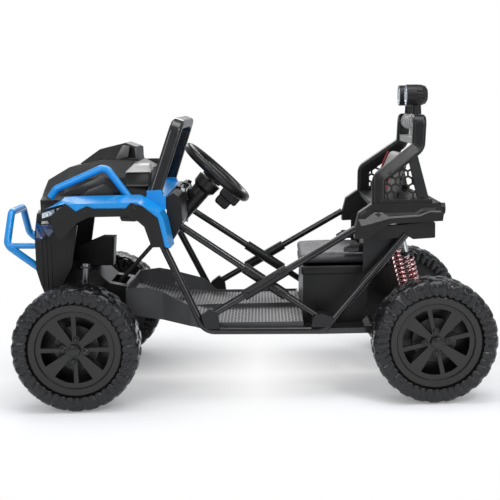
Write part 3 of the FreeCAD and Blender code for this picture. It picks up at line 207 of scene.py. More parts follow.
def grained_plastic(name, colour, roughness, grain=0.0012, depth=0.00003, edge=0.001, shine=0.5):
    """A moulded finish, with its grain's size and depth and the rounding of its edges in metres."""
    finish = Finish(name, colour, roughness, specular_ior_level=shine)
    pebbles = finish.cells(grain)
    clouds = finish.noise(0.05)
    worn = finish.edge_mask(edge)
    finish.tint(worn * 0.55 + clouds.clamped(0.35, 0.75) * 0.22, lighter(colour))
    finish.feed("Roughness", clouds * 0.16 + (roughness - 0.08) - worn * 0.1)
    finish.relief(pebbles, depth, edge)
    return finish.material


panel_black = grained_plastic("panel_black", (0.0085, 0.0082, 0.0082), 0.34, 0.0011, 0.00009, 0.0016, 0.32)
frame_black = grained_plastic("frame_black", (0.0085, 0.0085, 0.009), 0.3, 0.0013, 0.00008, 0.0016, 0.36)
box_black = grained_plastic("box_black", (0.007, 0.007, 0.0073), 0.4, 0.0015, 0.00012, 0.002, 0.3)
# The nut black also gives painted shade inside the brake discs' holes.
nut_black_and_hole_shade = grained_plastic("nut_black_and_hole_shade", (0.006, 0.006, 0.006), 0.3, edge=0.0006)
disc_grey = grained_plastic("disc_grey", (0.03, 0.029, 0.028), 0.34, depth=0.00005, edge=0.0006)
gloss_black = grained_plastic("gloss_black", (0.012, 0.012, 0.013), 0.18)
satin_dark = grained_plastic("satin_dark", (0.026, 0.0255, 0.025), 0.3, depth=0.00006)
# The grey satin also gives a painted highlight: a strip along the top edge of the rear panels' raised band.
grey_satin_and_highlight = grained_plastic("grey_satin_and_highlight", (0.105, 0.103, 0.101), 0.32, depth=0.00006)
# The light satin also gives a painted highlight on the upward faces of the shoulder vents.
light_satin_and_highlight = grained_plastic("light_satin_and_highlight", (0.34, 0.335, 0.33), 0.36, depth=0.00006)
trim_white = grained_plastic("trim_white", (0.62, 0.62, 0.62), 0.22)
sleeve_red = grained_plastic("sleeve_red", (0.2, 0.012, 0.016), 0.25, edge=0.0006)
piping_red = grained_plastic("piping_red", (0.42, 0.03, 0.03), 0.45, depth=0.00005, edge=0.0006)
print("moulded finishes:", len(bpy.data.materials))

# %% Powder-coated tube and steel
def coated_metal(name, colour, roughness, ripple):
    finish = Finish(name, colour, roughness, coat_weight=0.25, coat_roughness=0.12)
    peel = finish.noise(ripple, 2.0)
    dust = finish.noise(0.06)
    finish.tint(dust.clamped(0.45, 0.8) * 0.4, lighter(colour))
    finish.feed("Roughness", dust * 0.14 + (roughness - 0.07))
    finish.relief(peel, 0.00012, 0.001)
    return finish.material


tube_black = coated_metal("tube_black", (0.0065, 0.0065, 0.007), 0.22, 0.004)
steel_black = coated_metal("steel_black", (0.01, 0.01, 0.0105), 0.32, 0.003)
print("made", tube_black.name, steel_black.name)

# %% [markdown]
# The coloured parts are moulded in a bright blue with a high gloss.
# A thin clear coat gives the sharp highlight, and a faint ripple keeps large faces from looking like glass.

# %% Glossy blue
def gloss_blue():
    finish = Finish("gloss_blue", (0.0015, 0.255, 0.68), 0.3, coat_weight=0.25, coat_roughness=0.12)
    ripple = finish.noise(0.03, 2.0)
    worn = finish.edge_mask(0.002)
    finish.tint(worn * 0.5, (0.05, 0.42, 0.98))
    finish.feed("Roughness", ripple * 0.12 + 0.24)
    finish.relief(ripple, 0.0004, 0.002)
    return finish.material


blue = gloss_blue()
print("made", blue.name)

# %% [markdown]
# Foam tyres have a skin that is smooth and a little shiny, with faint flow lines from the mould.
# The wheel centres are a brown-black satin plastic.

# %% Tyre and wheel centre
def tyre_skin():
    finish = Finish("tyre_skin", (0.0085, 0.0085, 0.0095), 0.24, specular_ior_level=0.24, coat_weight=0.35,
                    coat_roughness=0.07)
    clouds = finish.noise(0.014, 4.0)
    specks = finish.noise(0.003, 2.0)
    finish.tint(clouds.clamped(0.4, 0.75) * 0.5, (0.019, 0.019, 0.021))
    finish.feed("Roughness", clouds * 0.24 + 0.08)
    finish.relief(specks * 0.25 + clouds, 0.003, 0.0015)
    return finish.material


def rim_satin():
    finish = Finish("rim_satin", (0.011, 0.0098, 0.0088), 0.32)
    clouds = finish.noise(0.03)
    worn = finish.edge_mask(0.0014)
    finish.tint(worn * 0.7, (0.05, 0.045, 0.04))
    finish.feed("Roughness", clouds * 0.12 + 0.28)
    finish.relief(finish.cells(0.0012), 0.00006, 0.0014)
    return finish.material


tyre_black = tyre_skin()
rim_black = rim_satin()
print("made", tyre_black.name, rim_black.name)

# %% Seat cover, floor, chrome, coil and lenses
CLEAR_COAT = {"coat_weight": 1.0, "coat_roughness": 0.03}


def leatherette(name, colour):
    finish = Finish(name, colour, 0.46, sheen_weight=0.1)
    grain = finish.cells(0.0032)
    creases = finish.noise(0.012, 4.0)
    finish.tint(creases.clamped(0.4, 0.8) * 0.5, tuple(c * 1.8 for c in colour))
    finish.feed("Roughness", creases * 0.25 + 0.32)
    finish.relief(grain * 0.7 + creases * 0.5, 0.0005)
    return finish.material


def floor_plastic():
    finish = Finish("floor_plastic", (0.05, 0.05, 0.053), 0.52)
    clouds = finish.noise(0.08, 4.0)
    worn = finish.edge_mask(0.002)
    finish.tint(worn * 0.5 + clouds.clamped(0.4, 0.8) * 0.3, (0.12, 0.12, 0.125))
    finish.feed("Roughness", clouds * 0.2 + 0.42)
    finish.relief(finish.cells(0.0016), 0.00012, 0.002)
    return finish.material


def bright_metal(name, colour, roughness):
    finish = Finish(name, colour, roughness, metallic=1.0)
    drag = finish.noise(0.004)
    finish.feed("Roughness", drag * 0.12 + (roughness - 0.06))
    finish.relief(drag, 0.00004)
    return finish.material


def lens_plastic(name, colour, pitch):
    """A clear lens with ribs across it, pitch metres apart."""
    finish = Finish(name, colour, 0.1, **CLEAR_COAT)
    ribs = finish.bands("Z", 0.314 / pitch)
    finish.tint(ribs * 0.35, tuple(c * 0.45 for c in colour))
    finish.relief(ribs, 0.0006)
    return finish.material


seat_cover = leatherette("leatherette", (0.03, 0.03, 0.033))
seat_grey = leatherette("leatherette_grey", (0.15, 0.145, 0.14))
floor_grey = floor_plastic()
chrome = bright_metal("chrome", (0.78, 0.78, 0.8), 0.14)
coil_red = bright_metal("coil_red", (0.78, 0.48, 0.48), 0.16)
zinc = bright_metal("zinc", (0.45, 0.45, 0.46), 0.32)
rod_steel = bright_metal("rod_steel", (0.17, 0.17, 0.175), 0.2)
# The white lens finish also gives the headlights' painted glints.
white_lens_and_glint = lens_plastic("white_lens_and_glint", (0.7, 0.8, 0.92), 0.004)
lens_red = lens_plastic("lens_red", (0.45, 0.02, 0.02), 0.003)
print("finishes so far:", len(bpy.data.materials))

# %% [markdown]
# Every node of the solid model keeps its shape and takes the finish of the real part.
# The names say which part is which, so one table is enough.

# %% Finishes for the solid model's nodes
def both(*names):
    """The names of the left and the right node of each pair."""
    return [name + "_" + side for name in names for side in ("left", "right")]


finish_of = {
    tyre_black: both("tyre_front", "tyre_rear"),
    rim_black: both("rim_front", "rim_rear"),
    steel_black: both("knuckle") + ["tie_rod", "steering_column", "rear_axle", "rear_frame", "front_beam"],
    tube_black: both("side_rail", "brace_bars") + ["grab_hoop"],
    frame_black: both("cross_clamp", "brace_feet", "roll_frame") + [
        "roll_meshes", "steering_wheel", "column_shroud", "side_gussets", "gearboxes"],
    box_black: ["seat_box", "front_box", "battery", "rear_deck"],
    panel_black: both("fender", "rear_panel", "headlight") + [
        "nose", "hood", "hood_scoop", "dashboard", "roof_lamps", "tail_lamps"],
    blue: both("fender_trim", "hood_tube") + ["bumper", "cowl"],
    floor_grey: ["floor_tub"],
    seat_cover: ["seat_cushion", "seat_back"],
    coil_red: ["rear_shocks"],
    white_lens_and_glint: ["lamp_lenses"],
    light_satin_and_highlight: ["roll_top"],
}
bare = set(nodes)
for material, names in finish_of.items():
    for name in names:
        nodes[name].data.materials.clear()
        nodes[name].data.materials.append(material)
    bare -= set(names)
print("nodes with no finish:", sorted(bare))

# %% [markdown]
# Operators act on whatever is selected, so small helpers keep that under control.
# One gives a clean start with a new primitive, one picks faces by a test on where they are or look,
# and one moves a finished piece's place into its mesh, so that its object sits at the origin.

# %% Selecting and placing
WELD = 0.00002
FLIP = Matrix.Scale(-1, 4, (0, 1, 0))
SIDES = {"left": Matrix.Identity(4), "right": FLIP}


def object_mode():
    if bpy.context.object and bpy.context.object.mode != "OBJECT":
        bpy.ops.object.mode_set(mode="OBJECT")


def bake():
    """Puts the place of the selected objects into their meshes."""
    bpy.ops.object.transform_apply(location=True, rotation=True, scale=True)


def start(kind, name, **settings):
    """Adds a primitive with nothing else selected, and names it."""
    object_mode()
    bpy.ops.object.select_all(action="DESELECT")
    getattr(bpy.ops.mesh, "primitive_" + kind + "_add")(**settings)
    bake()
    piece = bpy.context.object
    piece.name = name
    piece.data.name = name
    return piece


def pick_only(*pieces):
    object_mode()
    bpy.ops.object.select_all(action="DESELECT")
    for piece in pieces:
        piece.select_set(True)
    bpy.context.view_layer.objects.active = pieces[0]


def edit_all():
    """Edit mode, with everything selected."""
    bpy.ops.object.mode_set(mode="EDIT")
    bpy.ops.mesh.select_all(action="SELECT")


def pick_faces(piece, test):
    """Edit mode, with only those faces selected for which test(face) is true."""
    bpy.ops.object.mode_set(mode="EDIT")
    bpy.ops.mesh.select_mode(type="FACE")
    bpy.ops.mesh.select_all(action="DESELECT")
    object_mode()
    for face in piece.data.polygons:
        face.select = test(face)
    bpy.ops.object.mode_set(mode="EDIT")


def facing(x, y, z, least=0.9):
    """The test for faces that look in a direction."""
    return lambda face: face.normal.dot((x, y, z)) > least


def modify(piece, kind, **settings):
    """Adds a modifier and applies it at once."""
    pick_only(piece)
    modifier = piece.modifiers.new(kind.lower(), kind)
    for key, value in settings.items():
        setattr(modifier, key, value)
    bpy.ops.object.modifier_apply(modifier=modifier.name)


def settle(piece, material, body="chassis", smooth=35):
    """Puts the piece's place into its mesh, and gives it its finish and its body."""
    pick_only(piece)
    bake()
    edit_all()
    bpy.ops.mesh.remove_doubles(threshold=WELD)
    bpy.ops.mesh.normals_make_consistent(inside=False)
    object_mode()
    bpy.ops.object.shade_smooth_by_angle(angle=math.radians(smooth))
    piece.data.materials.clear()
    piece.data.materials.append(material)
    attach(piece, body)


def copies(piece, places):
    """The piece and its copies, each with its own mesh, one at each matrix in places."""
    base = piece.matrix_world.copy()
    made = [piece]
    while len(made) < len(places):
        one = piece.copy()
        one.data = piece.data.copy()
        scene.collection.objects.link(one)
        made.append(one)
    for one, place in zip(made, places):
        one.matrix_world = place @ base
    return made


def merged(pieces, name):
    """Joins pieces into one object whose place is in its mesh."""
    pick_only(*pieces)
    bake()
    bpy.ops.object.join()
    piece = bpy.context.object
    piece.name = name
    piece.data.name = name
    return piece


def shift(x, y, z):
    return Matrix.Translation((x, y, z))


def spin(degrees, axis="Y"):
    return Matrix.Rotation(math.radians(degrees), 4, axis)


def pointing(place, direction):
    """The matrix that puts a part drawn along +Y at a place, along a direction."""
    return shift(*place) @ Vector(direction).to_track_quat("Y", "Z").to_matrix().to_4x4()


def pair(piece, material, body="chassis", smooth=35):
    """The piece and its mirror image, named and settled. SIDE in body stands for the side."""
    name = piece.name
    for one, side in zip(copies(piece, SIDES.values()), SIDES):
        one.name = name + "_" + side
        settle(one, material, body.replace("SIDE", side), smooth)


def paint(piece, material, test):
    """Gives another finish to the faces of a piece for which test(face) is true."""
    mesh = piece.data
    mesh.materials.append(material)
    chosen = [face for face in mesh.polygons if test(face)]
    for face in chosen:
        face.material_index = len(mesh.materials) - 1
    print("painted", len(chosen), "faces of", piece.name, "with", material.name)


print("helpers ready")

# %% [markdown]
# Most shapes start as one point, drawn along an outline by extruding it.
# Filled and pulled to its thickness, the outline is a flat plate, as most of the small trims are.
# Spun about an axis, as on a lathe, it is a round part.
# Blocks and bolts start as a cube or a cylinder, whose faces are then inset and whose edges are rounded.

# %% Outlines, plates, the lathe and blocks
def pull(x, y, z):
    """Extrudes the selection by a step."""
    bpy.ops.mesh.extrude_region_move(TRANSFORM_OT_translate={"value": (x, y, z)})


def dished(piece, *steps):
    """Insets the faces that look along +Y and moves what is inside along Y, step by step."""
    pick_faces(piece, facing(0, 1, 0))
    for thickness, rise in steps:
        bpy.ops.mesh.inset(thickness=thickness)
        bpy.ops.transform.translate(value=(0, rise, 0))
    object_mode()


def bevel_all(offset, segments=2):
    """Rounds every edge of the active piece."""
    edit_all()
    bpy.ops.mesh.bevel(offset=offset, segments=segments, affect="EDGES")
    object_mode()


def chain(name, points):
    """Edges from point to point, in edit mode. A plane merged to its middle gives the first point."""
    piece = start("plane", name, size=0.001, location=(0, 0, 0))
    bpy.ops.object.mode_set(mode="EDIT")
    bpy.ops.mesh.select_mode(type="VERT")
    bpy.ops.mesh.select_all(action="SELECT")
    bpy.ops.mesh.merge(type="CENTER")
    bpy.ops.transform.translate(value=points[0])
    for before, after in zip(points, points[1:]):
        pull(*(b - a for a, b in zip(before, after)))
    return piece


def plate(name, outline, y_low, y_high, bevel=0.0008):
    """A plate with an outline of (x, z) points in millimetres, from y_low to y_high in metres."""
    piece = chain(name, [(x / 1000, y_low, z / 1000) for x, z in outline])
    edit_all()
    bpy.ops.mesh.edge_face_add()
    pull(0, y_high - y_low, 0)
    edit_all()
    bpy.ops.mesh.normals_make_consistent(inside=False)
    bevel_all(bevel)
    return piece


def lathe(name, outline, steps=48):
    """Spins an outline of (radius, along) points about the Y axis at the origin."""
    piece = chain(name, [(r, y, 0) for r, y in outline])
    edit_all()
    bpy.ops.mesh.spin(steps=steps, angle=2 * math.pi, center=(0, 0, 0), axis=(0, 1, 0))
    edit_all()
    bpy.ops.mesh.remove_doubles(threshold=WELD)
    bpy.ops.mesh.normals_make_consistent(inside=False)
    object_mode()
    return piece


def cube(name, middle, size):
    return start("cube", name, size=1, location=middle, scale=size)


def block(name, low, high, bevel, segments=2, spare=0):
    """A box with rounded edges between two corners, or smaller by spare."""
    piece = cube(name, [(a + b) / 2 for a, b in zip(low, high)], [b - a - spare for a, b in zip(low, high)])
    bevel_all(bevel, segments)
    return piece


def cylinder(name, sides, radius, depth, y=0):
    """A cylinder about the Y axis, its middle at y."""
    return start("cylinder", name, vertices=sides, radius=radius, depth=depth, location=(0, y, 0),
                 rotation=(math.pi / 2, 0, 0))


print("tools ready")

# %% [markdown]
# The tyres are the largest thing in the picture, and the solid model only roughs out their lugs.
# A real one is a ballooned ring with slanted blocks across the tread, each folding over the shoulder,
# and soft pads down the sidewall with creases between them, all foamed in one piece.
# The ring is spun, each kind of block is one small box drawn out in edit mode and copied round the tyre,
# and then the whole is remeshed and smoothed, which melts the blocks into the ring as foam does.

# %% Tyre sizes and wheel places
tyre_low, tyre_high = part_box("tyre_front_left")
TYRE_R = (tyre_high[2] - tyre_low[2]) / 2
rim_low, rim_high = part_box("rim_front_left")
RIM_R = (rim_high[2] - rim_low[2]) / 2
FRONT_X = (tyre_low[0] + tyre_high[0]) / 2
REAR_X = sum(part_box("tyre_rear_left")[i][0] for i in (0, 1)) / 2
WHEEL_Y = (tyre_low[1] + tyre_high[1]) / 2
AXLE_Z = (tyre_low[2] + tyre_high[2]) / 2
LUGS = 24
PADS = 44
PAD_LEAN = 12
PAD_SIZES = ((0.036, 0.0152), (0.029, 0.0128))
# The place of each wheel, with the right ones mirrored
WHEELS = {end + "_" + side: SIDES[side] @ shift(x, WHEEL_Y, AXLE_Z)
          for end, x in (("front", FRONT_X), ("rear", REAR_X)) for side in SIDES}
print("tyre radius", round(TYRE_R, 4), "rim radius", round(RIM_R, 4), "axle at", round(AXLE_Z, 4))

# %% The tyre: its ring, its lugs and its pads
def tyre_ring():
    """The tyre's ring about the Y axis at the origin."""
    outer = [
        (RIM_R + 0.0004, 0.034), (RIM_R + 0.0008, 0.041), (RIM_R + 0.0045, 0.045), (RIM_R + 0.012, 0.0478),
        (RIM_R + 0.02, 0.048), (TYRE_R - 0.0125, 0.0466), (TYRE_R - 0.0066, 0.0422),
        (TYRE_R - 0.0038, 0.035), (TYRE_R - 0.0032, 0.012),
    ]
    closed = outer + [(r, -y) for r, y in reversed(outer)] + outer[:1]
    return lathe("tyre_ring", closed, 96)


def tread_lug():
    """One slanted block at the angle 0, drawn out in steps from mid tread over the shoulder."""
    lug = cube("tread_lug", (TYRE_R - 0.0063, 0.01, -0.005), (0.012, 0.014, 0.021))
    pick_faces(lug, facing(0, 1, 0))
    for step, widen in (((-0.0002, 0.013, 0.006), 1.2), ((-0.0018, 0.009, 0.003), 1.12),
                        ((-0.0075, 0.0085, 0.001), 0.95), ((-0.006, 0.0025, -0.002), 0.72)):
        pull(*step)
        bpy.ops.transform.resize(value=(1, 1, widen))
    bevel_all(0.0016, 1)
    return lug


def side_pad(length, width):
    """One soft pad at the angle 0, down the sidewall from the rim outwards."""
    inner = RIM_R - 0.001
    pad = cube("side_pad", (inner + length / 2, 0.047, 0), (length, 0.0078, width))
    bevel_all(0.0026)
    pad.matrix_world = shift(inner, 0, 0) @ spin(PAD_LEAN) @ shift(-inner, 0, 0)
    return pad


def tyre_model():
    """The whole tyre about the Y axis at the origin."""
    step = 360 / LUGS
    lugs = copies(tread_lug(), [spin(i * step + 90) for i in range(LUGS)]
                  + [spin((i + 0.5) * step + 90) @ FLIP for i in range(LUGS)])
    pads = []
    for first, size in enumerate(PAD_SIZES):
        pads += copies(side_pad(*size), [spin(360 / PADS * i) @ side for i in range(first, PADS, 2)
                                         for side in SIDES.values()])
    tyre = merged([tyre_ring()] + lugs + pads, "tyre_model")
    modify(tyre, "REMESH", mode="VOXEL", voxel_size=0.0024)
    modify(tyre, "SMOOTH", factor=0.5, iterations=2)
    return tyre


tyres = copies(tyre_model(), WHEELS.values())
for tyre, name in zip(tyres, WHEELS):
    tyre.name = "foam_tyre_" + name
    settle(tyre, tyre_black, "wheel_" + name, smooth=50)
    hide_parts("tyre_" + name)
print("tyres:", len(tyres), "faces each:", len(tyres[0].data.polygons))

# %% [markdown]
# The wheel centres are one black moulding, so the solid model's shape stays.
# What it lacks are the fasteners: four nuts with washers near the roots of the thin spokes,
# a six-sided cap in the middle and the drilled disc behind the spokes.

# %% Wheel fasteners and brake discs
NUT_RING_R = 0.0285
SPOKES_TURNED = (0, 0, 12, 12)
HOLES_A_ROW = 24
# For each row of holes: its radius, and how far it is turned in steps from hole to hole
HOLE_ROWS = ((0.043, 0), (0.051, 0.5))


def hex_nut():
    """A hexagonal nut on its washer, its face at +Y."""
    nut = cylinder("hex_nut", 6, radius=0.0072, depth=0.005, y=0.0385)
    dished(nut, (0.0012, 0.001), (0.0016, -0.0016))
    washer = lathe("washer", [(0, 0.0362), (0.01, 0.0362), (0.01, 0.0371), (0, 0.0372)], 16)
    return merged([nut, washer], "hex_nut")


def wheel_nuts():
    """The four nuts and the cap of one wheel."""
    nuts = copies(hex_nut(), [spin(90 * i - 8) @ shift(NUT_RING_R, 0, 0) for i in range(4)])
    cap = lathe("hub_cap", [(0, 0.0474), (0.0118, 0.0472), (0.0152, 0.0458), (0.0166, 0.043),
                            (0.0166, 0.0405)], 6)
    return merged(nuts + [cap], "wheel_nuts")


def brake_disc():
    """The face of the brake disc, with a raised rim."""
    return lathe("brake_disc", [(0.026, 0.0093), (0.03, 0.01), (0.056, 0.01), (0.0575, 0.0106),
                                (0.0585, 0.01), (0.0585, 0.0088)])


def disc_holes():
    """Two rows of round holes, shown as dimples on the disc whose dark inside is painted shade."""
    hole = cylinder("disc_hole", 10, radius=0.0021, depth=0.0008, y=0.0102)
    dished(hole, (0.0004, -0.0005))
    places = [spin(360 / HOLES_A_ROW * (i + turn)) @ shift(radius, 0, 0)
              for radius, turn in HOLE_ROWS for i in range(HOLES_A_ROW)]
    return merged(copies(hole, places), "disc_holes")


places = [place @ spin(turn) for place, turn in zip(WHEELS.values(), SPOKES_TURNED)]
# The holes' dimples take the nut black as painted shade.
for piece, material in ((wheel_nuts(), nut_black_and_hole_shade), (brake_disc(), disc_grey), (disc_holes(), nut_black_and_hole_shade)):
    kind = piece.name
    for one, name in zip(copies(piece, places), WHEELS):
        one.name = kind + "_" + name
        settle(one, material, "wheel_" + name)
print("wheel hardware on", len(WHEELS), "wheels")

# %% [markdown]
# Several nodes have two finishes on the real thing, with the line between them along an edge of the shape.
# The kingpin's upper end is bare steel where the knuckle is coated black, and the lower front of the
# corner lamps is smoked blue. The floor has a tread of small oblong pits, which are far too many to model
# and are drawn by a brick pattern in the shader.

# %% More finishes
def pitted_floor():
    finish = Finish("pitted_floor", (0.01, 0.01, 0.011), 0.5)
    turned = finish.node("ShaderNodeMapping", {}, {"Vector": finish.spot(), "Rotation": (0, 0, math.pi / 2)})
    pits = finish.node("ShaderNodeTexBrick", {"offset": 0.5},
                       {"Vector": turned, "Scale": 1.0, "Mortar Size": 0.0018, "Mortar Smooth": 0.1,
                        "Brick Width": 0.034, "Row Height": 0.0092}, output="Fac")
    wear = finish.noise(0.05)
    finish.tint(pits * (0.75 + wear.clamped(0.3, 0.7) * 0.25), (0.27, 0.27, 0.275))
    finish.feed("Roughness", wear * 0.2 + 0.38)
    finish.relief(pits, 0.001)
    return finish.material


def smoked_lens():
    finish = Finish("smoked_lens", (0.004, 0.016, 0.075), 0.1, **CLEAR_COAT)
    glow = finish.noise(0.02, 2.0)
    finish.tint(glow.clamped(0.45, 0.7) * 0.6, (0.03, 0.09, 0.3))
    finish.feed("Roughness", glow * 0.1 + 0.06)
    return finish.material


def lit_lens():
    """A lens over reflectors, bright in bands."""
    finish = Finish("lit_lens", (0.82, 0.9, 0.98), 0.1, **CLEAR_COAT)
    bands = finish.bands("X", 34.0)
    finish.tint(bands.clamped(0.75, 0.95) * 0.8, (0.06, 0.1, 0.16))
    finish.relief(bands, 0.0005)
    return finish.material


lens_bright = lit_lens()
floor_pits = pitted_floor()
lens_blue = smoked_lens()
print("made", lens_bright.name, floor_pits.name, lens_blue.name)

# %% Two finishes on one node
KINGPIN_Y = 0.205
KINGPIN_UP = Vector((-0.0872, 0, 0.9962))
BARE_FROM = 0.1425
BARE_R = 0.011
# Where the lamps' blue part, the roof lamps' bright face and the floor's tread begin or end
BLUE_FROM_X = 0.51
BLUE_BELOW_Z = 0.485
ROOF_LAMP_FACE_X = -0.4545
FLOOR_HALF_WIDTH = 0.225
FLOOR_BELOW_Z = 0.25


def bare_part_of_pin(side):
    """The test for faces on the kingpin's upper end: far enough up its axis, and close to it."""
    foot = Vector((FRONT_X, side * KINGPIN_Y, AXLE_Z))
    up = KINGPIN_UP.normalized()

    def test(face):
        height = (face.center - foot).dot(up)
        return height > BARE_FROM and (face.center - foot - up * height).length < BARE_R
    return test


paint(nodes["knuckle_right"], rod_steel, bare_part_of_pin(-1))
paint(nodes["knuckle_left"], rod_steel, bare_part_of_pin(1))
paint(nodes["lamp_lenses"], lens_blue, lambda face: (
    face.center.x > BLUE_FROM_X and face.center.z < BLUE_BELOW_Z))
paint(nodes["roof_lamps"], chrome, lambda face: face.center.x > ROOF_LAMP_FACE_X)
paint(nodes["tail_lamps"], lens_red, facing(-1, 0, 0))
paint(nodes["floor_tub"], floor_pits, lambda face: (
    face.normal.z > 0.9 and abs(face.center.y) < FLOOR_HALF_WIDTH and face.center.z < FLOOR_BELOW_Z))

# %% [markdown]
# Screws hold the tubes, the clamps and the panels together, each sunk in a round pocket.
# One dished pocket with a six-sided socket is drawn and then copied to every place.

# %% Sunk screws
SCREW_R = 0.0052


def sunk_screw():
    """A screw head in its pocket, facing +Y."""
    profile = [(0, -0.0006), (0.62, -0.0006), (0.7, 0.0004), (0.86, 0.001), (1.0, 0.0006),
               (1.04, -0.0008)]
    pocket = lathe("pocket", [(SCREW_R * share, y) for share, y in profile], 20)
    head = cylinder("head", 6, radius=SCREW_R * 0.5, depth=0.0012)
    dished(head, (SCREW_R * 0.12, -0.0009))
    return merged([pocket, head], "sunk_screw")


# For each screw on the left: its place, and how much it leans up
screw_places = [
    (-0.004, 0.23, 0.3435, 0.06), (-0.084, 0.235, 0.2895, 0.06), (-0.085, 0.2515, 0.3395, 0.06),
    (-0.003, 0.2575, 0.2915, 0.06), (-0.386, 0.2005, 0.5985, 0.5), (-0.421, 0.183, 0.624, 0.5),
    (-0.358, 0.2172, 0.529, 0.0), (-0.473, 0.2085, 0.53, 0.0), (-0.353, 0.2307, 0.4905, 0.0),
    (-0.507, 0.2215, 0.497, 0.0), (0.272, 0.3252, 0.532, 0.0), (0.396, 0.3252, 0.527, 0.0),
]
screws = copies(sunk_screw(), [pointing((x, y, z), (0, 1, lift)) for x, y, z, lift in screw_places])
pair(merged(screws, "screws"), gloss_black)
print("screws:", 2 * len(screw_places))

# %% [markdown]
# The hood carries a raised vent on each rear shoulder, a long scooped panel under each side tube,
# and lighter facets on the sides of the intake. They are clipped over the shell, so they are separate pieces.

# %% Vents on the hood's shoulders
VENT_TOP_Z = 0.606


def shoulder_vent():
    """The left vent, a box whose top is drawn in and tilted, with a recess in its side."""
    vent = cube("shoulder_vent", (0.278, 0.146, 0.596), (0.068, 0.07, 0.03))
    pick_faces(vent, facing(0, 0, 1))
    pull(-0.003, -0.01, 0.017)
    bpy.ops.transform.resize(value=(0.62, 0.56, 1))
    bpy.ops.transform.rotate(value=math.radians(6), orient_axis="X", center_override=(0.276, 0.136, 0.628))
    pick_faces(vent, facing(0, 0, -1))
    bpy.ops.transform.translate(value=(0.004, 0.014, -0.01))
    pick_faces(vent, facing(0, 1, 0, 0.7))
    bpy.ops.mesh.inset(thickness=0.005)
    pull(0, -0.004, 0)
    bevel_all(0.0018)
    return vent


pair(shoulder_vent(), panel_black)
# Painted highlight: the vents' upward faces are made light grey, as where light from above falls on them.
for side in SIDES:
    paint(bpy.data.objects["shoulder_vent_" + side], light_satin_and_highlight,
          lambda face: face.normal.z > 0.35 and face.center.z > VENT_TOP_Z)

# %% Flat trims of the hood, the nose, the rear panels and the corner lamps
RIB_PITCH = 12


def nose_rib(number):
    """One upright rib of the nose, as a row of the table: each next one is further back and lower."""
    step = RIB_PITCH * (number - 1)
    outline = [(551 - step, 440 - step), (548 - step, 446 - step), (549 - step, 300), (552 - step, 296)]
    return "nose_rib_%d" % number, panel_black, 0.1496, 0.1516, 0.0008, outline


# For each trim: its name and finish, its inner and outer face, its edges' rounding, and its outline
trims = [
    ("side_hollow", gloss_black, 0.211, 0.2124, 0.0006,
     [(484, 553), (372, 603), (350, 596), (322, 553)]),
    ("side_swoosh", satin_dark, 0.2118, 0.214, 0.0016,
     [(430, 551), (404, 569), (366, 583), (353, 577), (338, 551)]),
    ("intake_facet", grey_satin_and_highlight, 0.0738, 0.075, 0.0006,
     [(346, 637), (353, 641), (331, 677), (313, 674), (318, 645)]),
    ("intake_lip", grey_satin_and_highlight, 0.0738, 0.0752, 0.0006,
     [(298.5, 669), (293, 667), (292.5, 640), (297, 638)]),
    # Painted highlight: a light grey strip where light catches the top edge of the rear panel's raised band.
    ("panel_highlight_stripe", grey_satin_and_highlight, 0.2296, 0.2308, 0.0006,
     [(-300, 479), (-318, 478), (-343, 496), (-362, 496), (-381, 484), (-462, 488), (-492, 498), (-520, 497),
      (-519, 493), (-491, 494), (-463, 483), (-384, 479), (-334, 466), (-308, 460)]),
    ("panel_pocket", gloss_black, 0.23, 0.2314, 0.0005,
     [(-343, 492), (-362, 492), (-354, 483)]),
    ("lamp_block_long", lens_bright, 0.2976, 0.3006, 0.001,
     [(509, 511), (481, 524.5), (480, 517.5), (507, 505)]),
    ("lamp_block_short", lens_bright, 0.2976, 0.3006, 0.001,
     [(474, 529), (460, 534), (459, 527), (473, 522.5)]),
    ("lamp_facet_blue", lens_blue, 0.2992, 0.3008, 0.001,
     [(516, 487), (486, 488), (484, 471), (497, 457), (505, 467)]),
    ("lamp_facet_pale", light_satin_and_highlight, 0.2992, 0.301, 0.0008,
     [(513, 497), (497, 498), (495, 491), (514, 490)]),
    *[nose_rib(number) for number in (1, 2, 3)],
    # Painted highlights: two small white plates stand in for glints on the headlight's lens.
    ("lamp_glint_low", white_lens_and_glint, 0.2996, 0.301, 0.0006,
     [(489, 505), (481, 505), (480, 497), (487, 496)]),
    ("lamp_glint_high", white_lens_and_glint, 0.2996, 0.301, 0.0006,
     [(466, 519), (458, 519), (458, 512), (464, 510)]),
    ("arch_tab", panel_black, 0.296, 0.3204, 0.001,
     [(313, 506), (273, 506), (273, 494), (308, 496)]),
]
for name, material, inner, outer, bevel, outline in trims:
    pair(plate(name, outline, inner, outer, bevel), material)
print("flat trims:", 2 * len(trims))

# %% [markdown]
# The kingpin ends in a wide washer and a zinc-plated nut, standing well clear of the tyre.

# %% Nuts on the kingpins
KINGPIN_REACH = 0.2075


def kingpin_nut():
    """Washer and nut about +Y, with the pin's end at zero."""
    washer = lathe("washer", [(0.0078, -0.012), (0.0135, -0.0118), (0.0138, -0.0104), (0.0078, -0.0102)], 28)
    nut = cylinder("nut", 6, radius=0.0105, depth=0.0095, y=-0.0056)
    bevel_all(0.001, 1)
    return merged([washer, nut], "kingpin_nut")


nut = kingpin_nut()
nut.matrix_world = pointing(Vector((FRONT_X, KINGPIN_Y, AXLE_Z)) + KINGPIN_UP * KINGPIN_REACH, KINGPIN_UP)
pair(nut, zinc, body="knuckle_SIDE")
print("kingpin nuts done")

# %% [markdown]
# The instrument pod holds a pale fascia with a round dial between two banks of keys.
# Four more keys, by turns pale and dark, run up each side of the pod.

# %% Instruments
POD_FACE = shift(0.166, 0, 0.539) @ spin(-22) @ spin(90, "Z")
KEY_WIDTH = 0.0095
KEY_HEIGHT = 0.0048
KEY_COLUMNS = (-0.06, -0.046, -0.032, 0.0225, 0.0365, 0.0505)
KEY_ROWS = (-0.0105, -0.0028, 0.005)


